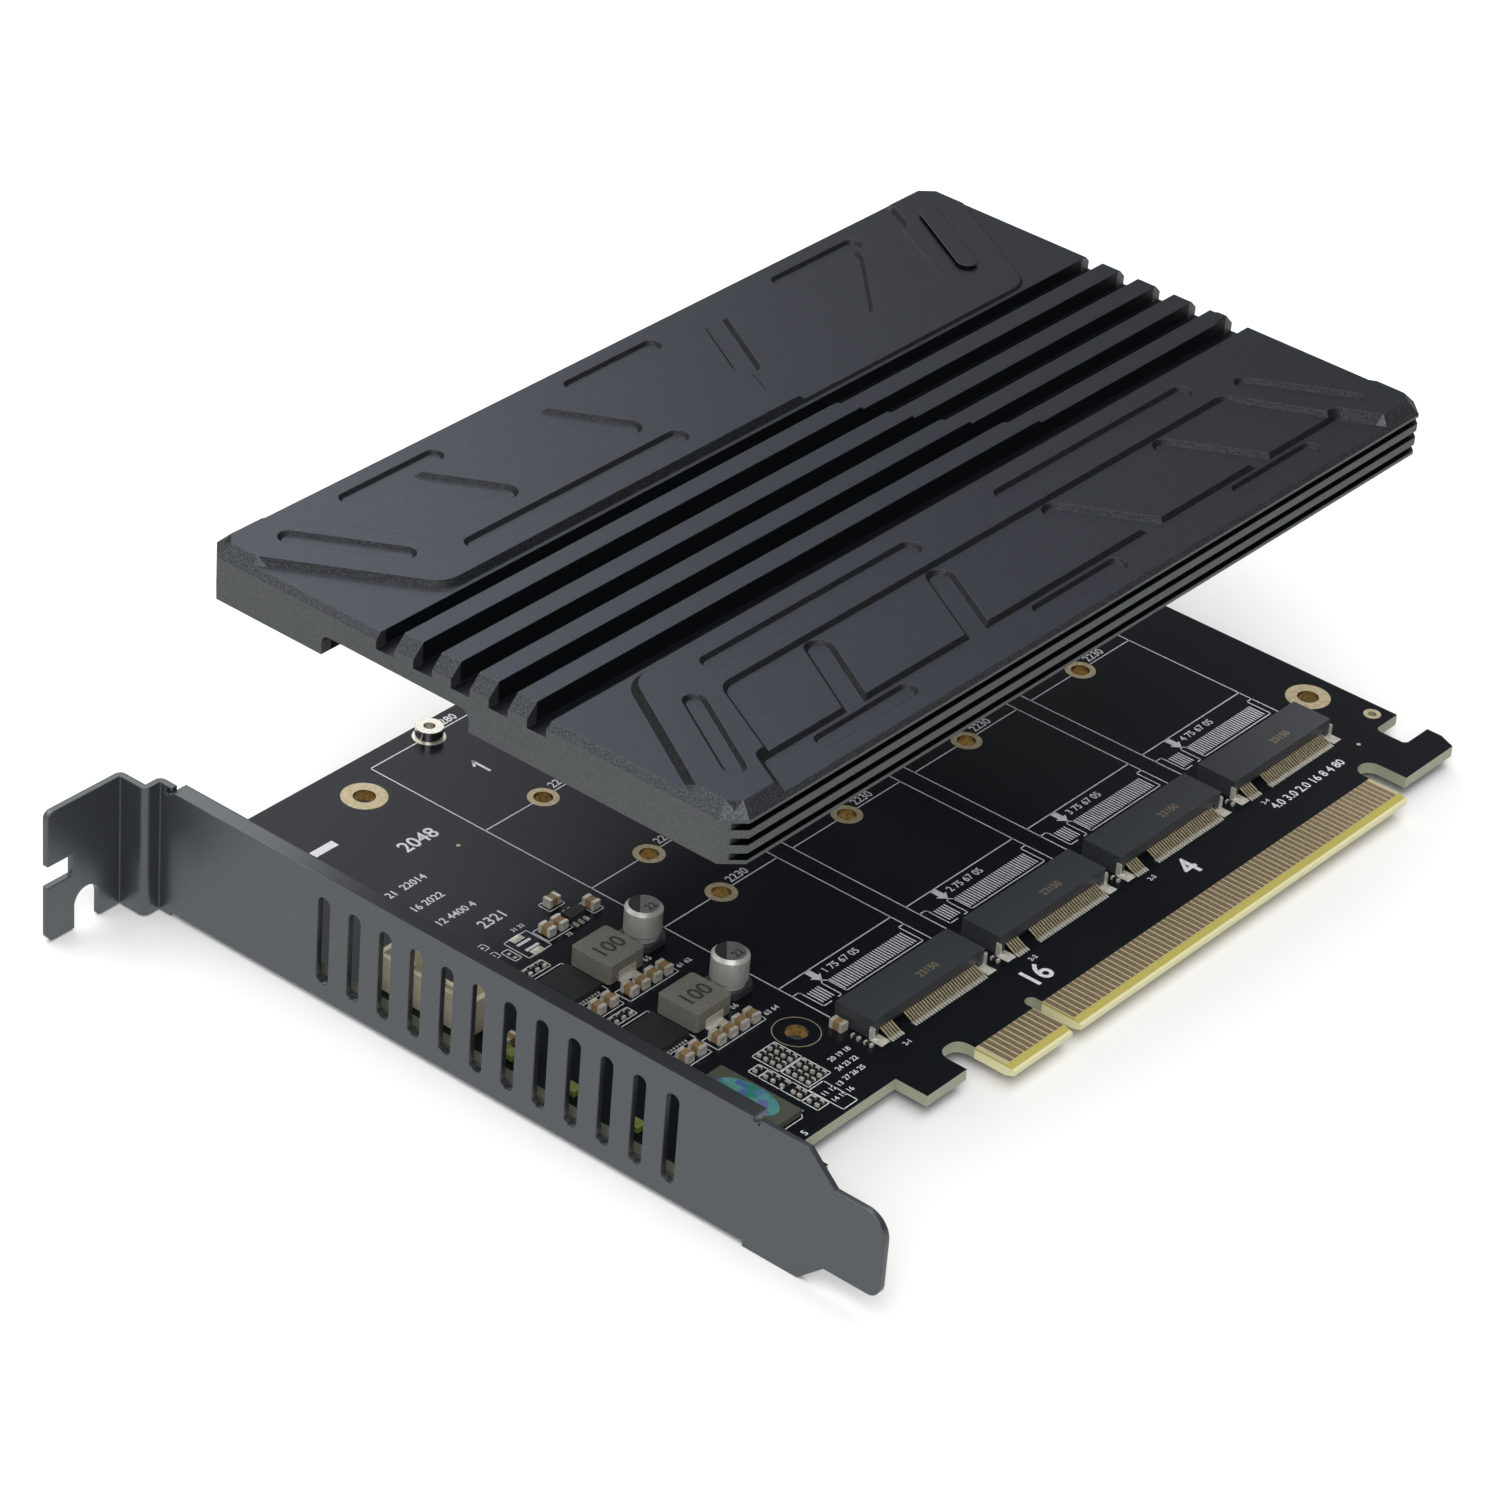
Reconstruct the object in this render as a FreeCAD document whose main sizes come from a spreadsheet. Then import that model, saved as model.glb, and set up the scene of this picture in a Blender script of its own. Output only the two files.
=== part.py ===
import FreeCAD, Part
import math
import os
import re
import Sketcher

# Four-drive adapter card: a PCI Express x16 board with a slotted steel bracket, four drive
# sockets, a small power stage and a machined heat sink that is shown lifted off.
# Frame: X runs along the card away from the bracket, Y from the edge connector up to the
# card's top edge, Z out of the component side.  x = 0 is the middle of the key notch, y = 0 the
# end of the edge connector and z = 0 the board's top surface.  Millimetres.

SIZES = [
    # circuit board
    ("board_thick", 1.6, "board thickness"),
    ("board_left", -56.1, "edge beside the bracket"),
    ("board_right", 88.5, "far edge"),
    ("board_top", 102.0, "edge away from the connector"),
    ("tab_low", 4.1, "lower edge of the two bracket-side tabs"),
    ("tab_high", 9.0, "lower edge between the tabs"),
    ("tab_one_end", -43.4, "right end of the corner tab"),
    ("tab_two_start", -24.5, "left end of the second tab"),
    ("relief_left", -16.8, "left side of the relief beside the tongue"),
    ("relief_right", 76.3, "right side of the relief beside the hook"),
    ("relief_top", 8.85, "closed end of both reliefs"),
    ("tongue_left", -12.6, "bracket-side end of the edge connector"),
    ("tongue_right", 72.6, "far end of the edge connector"),
    ("tongue_bevel", 1.3, "length of the connector's lead-in"),
    ("tongue_bevel_deep", 0.47, "depth of the lead-in on each face"),
    ("key_wide", 1.9, "key notch width"),
    ("key_top", 7.95, "closed end of the key notch"),
    ("hook_low", 2.7, "lower edge of the retention hook"),
    ("hook_toe", 87.4, "start of the hook's slanted toe"),
    ("hook_toe_top", 5.2, "end of the slanted toe"),
    ("hook_throat", 83.3, "closed side of the gap above the hook"),
    ("hook_throat_low", 7.5, "lower side of that gap"),
    ("hook_throat_high", 12.4, "upper side of that gap"),
    ("relief_round", 1.8, "corner radius in the reliefs"),
    ("throat_round", 0.8, "corner radius in the gap above the hook"),
    ("cover_hole", 3.0, "diameter of the four holes for the cover's screws"),
    ("cover_hole_left", -25.65, "X of the left pair"),
    ("cover_hole_right", 83.4, "X of the right pair"),
    ("cover_hole_low", 23.5, "Y of the low pair"),
    ("cover_hole_high", 95.35, "Y of the high pair"),
    ("drive_hole", 2.6, "diameter of the drive retention holes"),
    ("drive_first", -9.3, "X of the first drive's centre line"),
    ("drive_pitch", 25.2, "distance between drive centre lines"),
    ("drive_long_80", 99.2, "Y of the hole for an 80 mm drive"),
    ("drive_long_60", 79.2, "Y of the hole for a 60 mm drive"),
    ("drive_long_42", 61.2, "Y of the hole for a 42 mm drive"),
    ("drive_long_30", 49.2, "Y of the hole for a 30 mm drive"),
    ("tooling_hole", 1.2, "small hole near the hook"),
    ("tooling_hole_x", 86.2, "its X"),
    ("tooling_hole_y", 14.9, "its Y"),
    ("ear_screw_x", -49.7, "X of the bracket screws"),
    ("ear_screw_low", 9.6, "Y of the low bracket screw"),
    ("ear_screw_high", 91.6, "Y of the high bracket screw"),
    ("ear_screw_hole", 3.4, "clearance hole for a bracket screw"),
    ("ear_screw_head", 5.2, "screw head diameter"),
    ("ear_screw_head_high", 1.7, "screw head height"),
    ("ear_screw_cross_long", 1.5, "half length of the driver's cross"),
    ("ear_screw_cross_wide", 0.3, "half width of the driver's cross"),
    ("ear_screw_cross_deep", 1.0, "depth of the cross"),
    # edge contacts
    ("contact_pitch", 1.0, "pitch of the edge contacts"),
    ("contact_wide", 0.72, "width of one contact"),
    ("contact_thick", 0.04, "plated copper"),
    ("contact_start", 1.35, "Y of the contact's lower end"),
    ("contact_end", 6.1, "Y of the contact's upper end"),
    ("contact_first", 1.5, "notch centre to the nearest contact on either side"),
    ("contacts_short", 11, "contacts on the bracket side of the notch"),
    ("contacts_long", 71, "contacts on the far side of the notch"),
    # bracket
    ("bracket_face", -59.05, "X of the plate's outer face"),
    ("steel_thick", 0.86, "sheet thickness"),
    ("plate_low", -2.5, "lower edge along the lips"),
    ("plate_low_end", -3.25, "lower edge beyond the lips"),
    ("plate_high", 15.3, "upper edge"),
    ("tip_end", -16.0, "end of the slot tongue"),
    ("tip_low", 0.05, "lower edge of the slot tongue"),
    ("tip_high", 11.4, "upper edge of the slot tongue"),
    ("tip_low_root", -7.9, "start of the tongue on the lower edge"),
    ("tip_high_root", -8.4, "start of the tongue on the upper edge"),
    ("tip_shoulder", -4.25, "where the plate starts to narrow"),
    ("tip_round_low", 1.7, "lower corner radius of the tongue"),
    ("tip_round_high", 3.2, "upper corner radius of the tongue"),
    ("lip_start", 3.9, "Y where the lips start"),
    ("lip_end", 96.8, "Y where the lips end"),
    ("lip_reach", 2.45, "how far a lip stands in, from the outer face"),
    ("relief_notch", 0.55, "radius of the relief at the end of a lip"),
    ("ear_wide", 9.0, "width of a mounting ear"),
    ("ear_tip", -44.9, "X where the ears end"),
    ("jog_y", 98.8, "Y of the outward step below the flange"),
    ("jog_face", -61.65, "outer face above the step"),
    ("neck_low", -3.0, "lower edge of step and flange"),
    ("neck_high", 15.9, "upper edge of step and flange"),
    ("flange_top", 104.0, "upper face of the screw flange"),
    ("flange_tip", -73.9, "outer end of the flange"),
    ("fold_round", 0.9, "outside radius of the folds"),
    ("flange_round", 1.0, "corner radius of the flange"),
    ("screw_slot_left", -69.4, "screw slot, outer side"),
    ("screw_slot_right", -65.2, "screw slot, inner side"),
    ("screw_slot_round_z", 0.2, "Z of the slot's round centre"),
    ("locating_notch_low", 5.0, "locating notch, lower side"),
    ("locating_notch_high", 8.1, "locating notch, upper side"),
    ("locating_notch_deep", 4.2, "locating notch depth"),
    ("vent_count", 12, "vents in the plate"),
    ("vent_pitch", 5.03, "vent spacing"),
    ("vent_first", 70.96, "Y of the vent nearest the flange"),
    ("vent_wide", 2.0, "vent width"),
    ("vent_low", -0.35, "vent, lower end"),
    ("vent_high", 12.35, "vent, upper end"),
    # heat sink, in its own frame: middle of its underside
    ("sink_x", 16.5, "X of the heat sink's middle"),
    ("sink_y", 55.75, "Y of the heat sink's middle"),
    ("sink_z", 41.5, "height of its underside above the board, lifted off"),
    ("sink_long", 140.2, "length"),
    ("sink_wide", 83.7, "width"),
    ("sink_thick", 7.55, "thickness over the raised pads"),
    ("sink_corner", 2.4, "upright corner chamfer"),
    ("sink_edge", 1.65, "top edge chamfer"),
    ("channel_wide", 3.0, "width of one channel"),
    ("channel_pitch", 5.94, "distance between channels"),
    ("channel_count", 5, "channels"),
    ("channel_deep", 2.85, "depth of a channel"),
    ("ledge_deep", 0.85, "step from the pads to the ledges beside the channels"),
    ("ledge_edge", 14.8, "pad's inner edge, from the middle line"),
    ("ledge_run", 56.5, "half length of that edge"),
    ("ledge_out_x", 72.0, "end of the slanted pad edge, past the block"),
    ("ledge_out_y", 40.3, "the same, across"),
    ("ledge_round", 4.0, "corner radius of a pad"),
    ("panel_deep", 0.55, "step from the pads to the sunk panels"),
    ("panel_far", 22.55, "panel band's inner edge, from the middle line"),
    ("panel_run", 50.4, "half length of that edge"),
    ("panel_out_x", 62.9, "end of the band's slanted sides, past the block"),
    ("panel_out_y", 46.0, "the same, across"),
    ("panel_round", 3.0, "corner radius of the band"),
    ("strip_deep", 1.1, "step from the pads to the outer strip"),
    ("strip_edge", 34.6, "strip's inner edge, from the middle line"),
    ("strip_run", 58.6, "half length of that edge"),
    ("strip_out_x", 64.7, "end of the strip's slanted sides, past the block"),
    ("strip_round", 2.0, "corner radius of the strip"),
    ("gap_round", 2.45, "half width of the gaps between panels"),
    ("gap_in_y", 25.1, "inner end of the gaps, from the middle line"),
    ("gap_out_y", 37.0, "outer end of the gaps"),
    ("gap_one_in", 34.9, "outer gaps, inner end, from the middle"),
    ("gap_one_out", 42.0, "outer gaps, outer end"),
    ("gap_two_in", 11.6, "inner gaps, inner end"),
    ("gap_two_out", 18.7, "inner gaps, outer end"),
    ("slot_deep", 0.5, "depth of the decorative slots"),
    ("slot_round", 1.5, "half width of the decorative slots"),
    ("inner_slot_y", 18.65, "slots near the pad's inner edge"),
    ("inner_slot_start", 9.5, "their inner end"),
    ("inner_slot_end", 47.0, "their outer end"),
    ("corner_slot_in_x", 55.1, "slanted slots at the pad's ends"),
    ("corner_slot_in_y", 22.85, "their inner end, across"),
    ("corner_slot_out_x", 62.4, "their outer end"),
    ("corner_slot_out_y", 34.9, "their outer end, across"),
    ("edge_slot_y", 37.6, "slots in the outer strip"),
    ("edge_slot_round", 1.35, "half width of those slots"),
    ("edge_slot_half", 8.9, "half length"),
    ("edge_slot_shift", 41.5, "outer ones, from the middle"),
    ("edge_slot_corner", 1.3, "their corner radius"),
    ("edge_slot_deep", 0.45, "their depth below the strip"),
    ("groove_count", 3, "grooves along the connector-side edge"),
    ("groove_high", 0.93, "groove height"),
    ("groove_deep", 1.5, "groove depth"),
    ("groove_pitch", 2.03, "groove spacing"),
    ("groove_first", 0.5, "first groove above the underside"),
    ("cavity_deep", 3.3, "hollow of the underside"),
    ("rim_wide", 4.6, "rim around the hollow"),
    ("cable_notch_low", -1.55, "opening in the bracket-side rim, low side"),
    ("cable_notch_high", 22.05, "opening in the bracket-side rim, high side"),
    ("cable_notch_high_z", 2.8, "height of that opening"),
    ("cable_notch_round", 1.2, "its corner radius"),
    ("cover_boss", 7.0, "boss around a screw hole that stands clear of the rim"),
    ("cover_thread", 2.5, "threaded hole in the rim for a cover screw"),
    ("cover_thread_deep", 4.0, "depth of those holes"),
    ("thermal_pad_long", 64.0, "thermal pad along a drive"),
    ("thermal_pad_wide", 20.0, "thermal pad width"),
    ("thermal_pad_thick", 1.5, "thermal pad thickness"),
    ("thermal_pad_y", 58.0, "Y of the pads' middle"),
    # drive sockets
    ("socket_long", 22.0, "socket length"),
    ("socket_near", 16.0, "Y of the soldered side"),
    ("socket_wide", 6.0, "socket depth"),
    ("socket_tall", 2.7, "socket height"),
    ("mouth_long", 20.1, "card mouth length"),
    ("mouth_deep", 3.9, "card mouth depth"),
    ("mouth_low", 1.15, "card mouth, lower side"),
    ("mouth_high", 0.95, "card mouth height"),
    ("key_wall", 1.1, "key wall in the mouth"),
    ("key_wall_x", -6.1, "key wall from the socket's middle"),
    ("tail_window", 1.2, "height of the window above the solder tails"),
    ("tail_window_deep", 0.7, "depth of that window"),
    ("lead_pitch", 0.5, "contact spacing"),
    ("lead_wide", 0.24, "contact width"),
    ("lead_thick", 0.15, "contact thickness"),
    ("lead_foot", 14.5, "Y of the tails' ends"),
    ("leads_short", 5, "contacts on the short side of the key"),
    ("leads_long", 29, "contacts on the long side of the key"),
    ("lead_first", -9.3, "first contact from the socket's middle"),
    ("hold_down_long", 1.45, "hold-down tab along the socket"),
    ("hold_down_wide", 1.5, "hold-down tab across"),
    ("hold_down_thick", 0.2, "hold-down tab thickness"),
    ("hold_down_high", 1.8, "height of the clip that grips the socket's end"),
    ("standoff_across", 3.8, "drive standoff diameter"),
    ("standoff_high", 1.63, "drive standoff height"),
    ("standoff_bore", 1.6, "threaded bore of the standoff"),
    ("standoff_spigot", 2.5, "spigot soldered in the board's hole"),
    # power stage
    ("channel_shift", 14.0, "distance between the two converters"),
    ("can_x", -24.4, "X of the capacitor cans"),
    ("can_y", 49.4, "Y of the first can"),
    ("can_across", 4.9, "can diameter"),
    ("can_high", 5.4, "can height above the board"),
    ("can_foot_side", 5.2, "side of the can's plastic foot"),
    ("can_foot_high", 0.9, "height of the foot"),
    ("can_foot_cut", 1.1, "cut corners of the foot"),
    ("can_top_round", 0.45, "rolled edge of the can"),
    ("can_groove", 0.3, "depth of the crimp around the can"),
    ("coil_x", -31.5, "X of the inductors' middle"),
    ("coil_y", 48.95, "Y of the first inductor's middle"),
    ("coil_long", 6.6, "inductor along X"),
    ("coil_wide", 6.5, "inductor along Y"),
    ("coil_high", 2.8, "inductor height"),
    ("coil_cut", 0.35, "cut corners of the inductor"),
    ("coil_foot", 0.1, "gap under the inductor's body"),
    ("coil_end_wide", 3.2, "width of an inductor's solder end"),
    ("coil_end_reach", 0.5, "how far an end stands out"),
    ("coil_end_thick", 0.12, "thickness of that end"),
    ("regulator_x", -38.4, "X of the regulators' middle"),
    ("regulator_long", 5.1, "regulator along X"),
    ("regulator_wide", 6.0, "regulator along Y"),
    ("regulator_high", 0.9, "regulator height"),
    # signal parts
    ("clock_x", -41.15, "X of the clock chip's middle"),
    ("clock_y", 18.55, "Y of its middle"),
    ("clock_long", 12.5, "clock chip along Y"),
    ("clock_wide", 5.6, "clock chip along X"),
    ("clock_high", 1.0, "clock chip height"),
    ("clock_lift", 0.1, "gap under the chip"),
    ("clock_leads", 24, "leads on each side"),
    ("clock_lead_reach", 0.9, "how far the leads stand out"),
    ("sticker_long", 9.4, "oval label, long way"),
    ("sticker_wide", 5.0, "oval label, short way"),
    ("sticker_thick", 0.08, "label thickness"),
    ("header_x", -55.0, "near face of the fan header"),
    ("header_y", 50.5, "low end of the header"),
    ("header_long", 15.5, "header along Y"),
    ("header_deep", 4.6, "header along X"),
    ("header_high", 4.9, "header height"),
    ("header_wall", 0.7, "header wall"),
    ("header_pin", 0.6, "square pin"),
    ("header_pins", 4, "pins"),
    ("header_pitch", 2.54, "pin spacing"),
    ("led_x", -54.0, "X of the status lights' middle"),
    ("led_y", 44.7, "Y of the first light's middle"),
    ("led_pitch", 9.95, "distance between lights"),
    ("led_count", 3, "lights"),
    ("led_long", 1.6, "light along X"),
    ("led_wide", 2.0, "light along Y"),
    ("led_high", 0.75, "light height"),
    ("small_chip_x", -26.9, "X of the control chip's middle"),
    ("small_chip_y", 58.5, "Y of its middle"),
    ("small_chip_long", 3.0, "control chip along X"),
    ("small_chip_wide", 1.7, "control chip along Y"),
    ("small_chip_leads", 3, "leads on each side"),
    ("small_chip_pitch", 0.95, "lead spacing"),
    ("small_chip_lead_wide", 0.4, "lead width"),
    ("ceramic_long", 2.0, "ceramic capacitor length"),
    ("ceramic_wide", 1.25, "ceramic capacitor width"),
    ("ceramic_high", 1.2, "ceramic capacitor height"),
    ("resistor_long", 1.25, "chip resistor length over its solder"),
    ("resistor_wide", 0.55, "chip resistor width"),
    ("resistor_high", 0.4, "chip resistor height"),
    ("chip_end_share", 0.26, "share of a chip part's length taken by each solder end"),
    ("chip_body_share", 0.96, "share of the ends' width and height that a chip's body fills"),
    ("chip_body_lift", 0.02, "gap under a chip's body"),
    ("array_pitch", 1.04, "spacing of the resistors in the arrays"),
    ("array_low_x", -32.35, "X of the arrays' row nearer the bracket"),
    ("array_high_x", -30.3, "X of the arrays' other row"),
    ("array_y", 23.45, "Y of the first array's first resistor"),
    ("array_shift", 4.55, "distance between the two arrays"),
    ("gate_x", -39.9, "X of the first of three resistors beside a regulator"),
    ("gate_y", 54.5, "Y of those three"),
    ("gate_pitch", 1.3, "their spacing"),
    ("decoupling_x", -12.2, "parts at a socket's end, from the socket's middle"),
    ("decoupling_high_y", 17.6, "Y of the upper of those two parts"),
    ("decoupling_low_y", 15.6, "Y of the lower one"),
    ("output_row_y", 43.1, "Y of the row of ceramic capacitors beside an inductor"),
    ("input_row_y", 43.4, "Y of the row beside a regulator"),
    ("clock_row_x", -35.1, "X of the resistors beside the clock chip"),
    # construction
    ("overcut", 1, "how far a cutter reaches past the face it opens"),
    ("round_less", 0.01, "what a full round's radius falls short of half the width"),
]

doc = FreeCAD.newDocument("nvme_adapter_card")
sheet = doc.addObject("Spreadsheet::Sheet", "Sizes")
for row, (alias, size, note) in enumerate(SIZES, 1):
    sheet.set(f"A{row}", alias)
    sheet.set(f"B{row}", str(size))
    sheet.set(f"C{row}", note)
    sheet.setAlias(f"B{row}", alias)
doc.recompute()

SUB_PARTS = []


def value(alias):
    """The number in a sheet cell, or its negative for an alias led by a minus sign."""
    return -sheet.get(alias[1:]) if alias.startswith("-") else sheet.get(alias)


def formula(text):
    """A formula with each alias written as a reference to the sheet."""
    return re.sub(r"[a-z]\w+", lambda word: "Sizes." + word.group(), text)


def bind(thing, formulas):
    """Tie properties of an object to formulas over the sheet."""
    for name, text in formulas.items():
        thing.setExpression(name, formula(text))


def keep(thing, node):
    """Hand an object over as a sub-part: its label is the node's name."""
    thing.Label = node
    SUB_PARTS.append(thing)
    return thing


# ---- building blocks -------------------------------------------------------------------------


def new_body(node):
    """An empty body, kept as the sub-part of that name."""
    return keep(doc.addObject("PartDesign::Body", node), node)


def new_sketch(body, name, plane="XY_Plane", height="0"):
    """A sketch on one of its body's own origin planes, moved along the plane's normal."""
    sketch = body.newObject("Sketcher::SketchObject", name)
    origin_plane = [face for face in body.Origin.OriginFeatures if face.Role == plane][0]
    sketch.AttachmentSupport = [(origin_plane, "")]
    sketch.MapMode = "FlatFace"
    bind(sketch, {"AttachmentOffset.Base.z": height})
    return sketch


def place_point(sketch, edge, end, spot):
    """Hold a point of the sketch at a pair of formulas, measured from its origin."""
    for way, text in zip(("DistanceX", "DistanceY"), spot):
        number = sketch.addConstraint(Sketcher.Constraint(way, -1, 1, edge, end, 1.0))
        sketch.setExpression(f"Constraints[{number}]", formula(text))


def add_outline(sketch, corners):
    """A closed outline of straight edges through the corners, given as pairs of formulas."""
    first = sketch.GeometryCount
    count = len(corners)
    turn = 2 * math.pi / count
    ring = [FreeCAD.Vector(math.cos(turn * i), math.sin(turn * i), 0) for i in range(count)]
    for i in range(count):
        sketch.addGeometry(Part.LineSegment(ring[i], ring[(i + 1) % count]))
    for i in range(count):
        sketch.addConstraint(Sketcher.Constraint("Coincident", first + i, 2, first + (i + 1) % count, 1))
        place_point(sketch, first + i, 1, corners[i])


def add_circle(sketch, centre, diameter):
    """A circle held by formulas for its centre and diameter."""
    edge = sketch.addGeometry(Part.Circle(FreeCAD.Vector(), FreeCAD.Vector(0, 0, 1), 1.0))
    place_point(sketch, edge, 3, centre)
    number = sketch.addConstraint(Sketcher.Constraint("Diameter", edge, 2.0))
    sketch.setExpression(f"Constraints[{number}]", formula(diameter))


def add_obround(sketch, start, end, radius):
    """A slot with round ends; its two centres are pairs of sheet aliases."""
    a = FreeCAD.Vector(value(start[0]), value(start[1]), 0)
    b = FreeCAD.Vector(value(end[0]), value(end[1]), 0)
    along = (b - a).normalize()
    side = FreeCAD.Vector(-along.y, along.x, 0) * value(radius)
    cap = along * value(radius)
    first = sketch.GeometryCount
    sketch.addGeometry(Part.Arc(a + side, a - cap, a - side))
    sketch.addGeometry(Part.LineSegment(a - side, b - side))
    sketch.addGeometry(Part.Arc(b - side, b + cap, b + side))
    sketch.addGeometry(Part.LineSegment(b + side, a + side))
    for edge, far_edge in ((0, 1), (1, 2), (2, 3), (3, 0)):
        from_end = 2 if sketch.Geometry[first + edge].EndPoint.isEqual(
            sketch.Geometry[first + far_edge].StartPoint, 1e-6) else 1
        sketch.addConstraint(Sketcher.Constraint("Tangent", first + edge, from_end, first + far_edge, 1))
    place_point(sketch, first, 3, start)
    place_point(sketch, first + 2, 3, end)
    number = sketch.addConstraint(Sketcher.Constraint("Radius", first, value(radius)))
    sketch.setExpression(f"Constraints[{number}]", formula(radius))


def add_feature(body, kind, name, sketch, formulas, **settings):
    """A sketch-based feature of a body, recomputed so that the next one can build on it."""
    feature = body.newObject("PartDesign::" + kind, name)
    feature.Profile = sketch
    for key, setting in settings.items():
        setattr(feature, key, setting)
    bind(feature, formulas)
    doc.recompute()
    return feature


def cut_feature(body, name, sketch, depth, **settings):
    """A pocket that must remove something."""
    before = body.Shape.Volume
    pocket = add_feature(body, "Pocket", name, sketch, {"Length": depth}, **settings)
    if pocket.Shape.Volume > before - 1e-6:
        raise RuntimeError(f"{name} removes nothing")
    return pocket


def edges_on(feature, sketch, corners):
    """Names of the feature's straight edges that stand on the given corners of a sketch."""
    upright = sketch.Placement.Rotation.multVec(FreeCAD.Vector(0, 0, 1))
    names = []
    for corner in corners:
        spot = sketch.Placement.multVec(sketch.Geometry[corner].StartPoint)
        for number, edge in enumerate(feature.Shape.Edges, 1):
            offsets = [end.Point.distanceToLine(spot, upright) for end in edge.Vertexes]
            if max(offsets) < 1e-4:
                names.append(f"Edge{number}")
    return names


def dress(body, kind, name, feature, edges, size):
    """A fillet or chamfer on named edges of a body's last feature."""
    trim = body.newObject("PartDesign::" + kind, name)
    trim.Base = (feature, edges)
    bind(trim, {"Radius" if kind == "Fillet" else "Size": size})
    doc.recompute()
    return trim


def repeat(body, name, feature, step, count):
    """The feature repeated along an origin axis; step is its role, the span and the sense."""
    pattern = body.newObject("PartDesign::LinearPattern", name)
    pattern.Originals = [feature]
    axis = [line for line in body.Origin.OriginFeatures if line.Role == step[0]][0]
    pattern.Direction = (axis, [""])
    pattern.Reversed = step[2]
    bind(pattern, {"Length": step[1], "Occurrences": count})
    body.Tip = pattern
    doc.recompute()
    return pattern


def box(name, corner, size):
    """A box from its low corner and its size, both as formulas."""
    block = doc.addObject("Part::Box", name)
    bind(block, {"Placement.Base.x": corner[0], "Placement.Base.y": corner[1],
                 "Placement.Base.z": corner[2],
                 "Length": size[0], "Width": size[1], "Height": size[2]})
    return block


def cylinder(name, foot, radius, height):
    """An upright cylinder from the middle of its foot, as formulas."""
    rod = doc.addObject("Part::Cylinder", name)
    bind(rod, {"Placement.Base.x": foot[0], "Placement.Base.y": foot[1],
               "Placement.Base.z": foot[2], "Radius": radius, "Height": height})
    return rod


def join(name, things):
    """Several objects fused into one solid."""
    union = doc.addObject("Part::MultiFuse", name)
    union.Shapes = things
    return union


def subtract(name, base, tool):
    """One object less another."""
    rest = doc.addObject("Part::Cut", name)
    rest.Base = base
    rest.Tool = tool
    return rest


def chamfer_edges(name, base, wanted, size):
    """A chamfer on the edges of a Part object that pass the test."""
    doc.recompute()
    trim = doc.addObject("Part::Chamfer", name)
    trim.Base = base
    amount = value(size)
    trim.Edges = [(number, amount, amount) for number, edge in enumerate(base.Shape.Edges, 1)
                  if wanted(edge)]
    return trim


def is_upright(edge):
    """Whether an edge runs along Z."""
    return abs(edge.BoundBox.ZLength - edge.Length) < 1e-6


def grouped(node, solids):
    """Many small like pieces that share one node, as a compound of separate solids."""
    group = doc.addObject("Part::Feature", node)
    group.Shape = Part.makeCompound(solids)
    group.Placement = FreeCAD.Placement()
    return keep(group, node)


def block(x, y, z, long, wide, high):
    """A plain box shape centred on x and y and standing on z."""
    return Part.makeBox(long, wide, high, FreeCAD.Vector(x - long / 2, y - wide / 2, z))


# ---- circuit board ---------------------------------------------------------------------------


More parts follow.
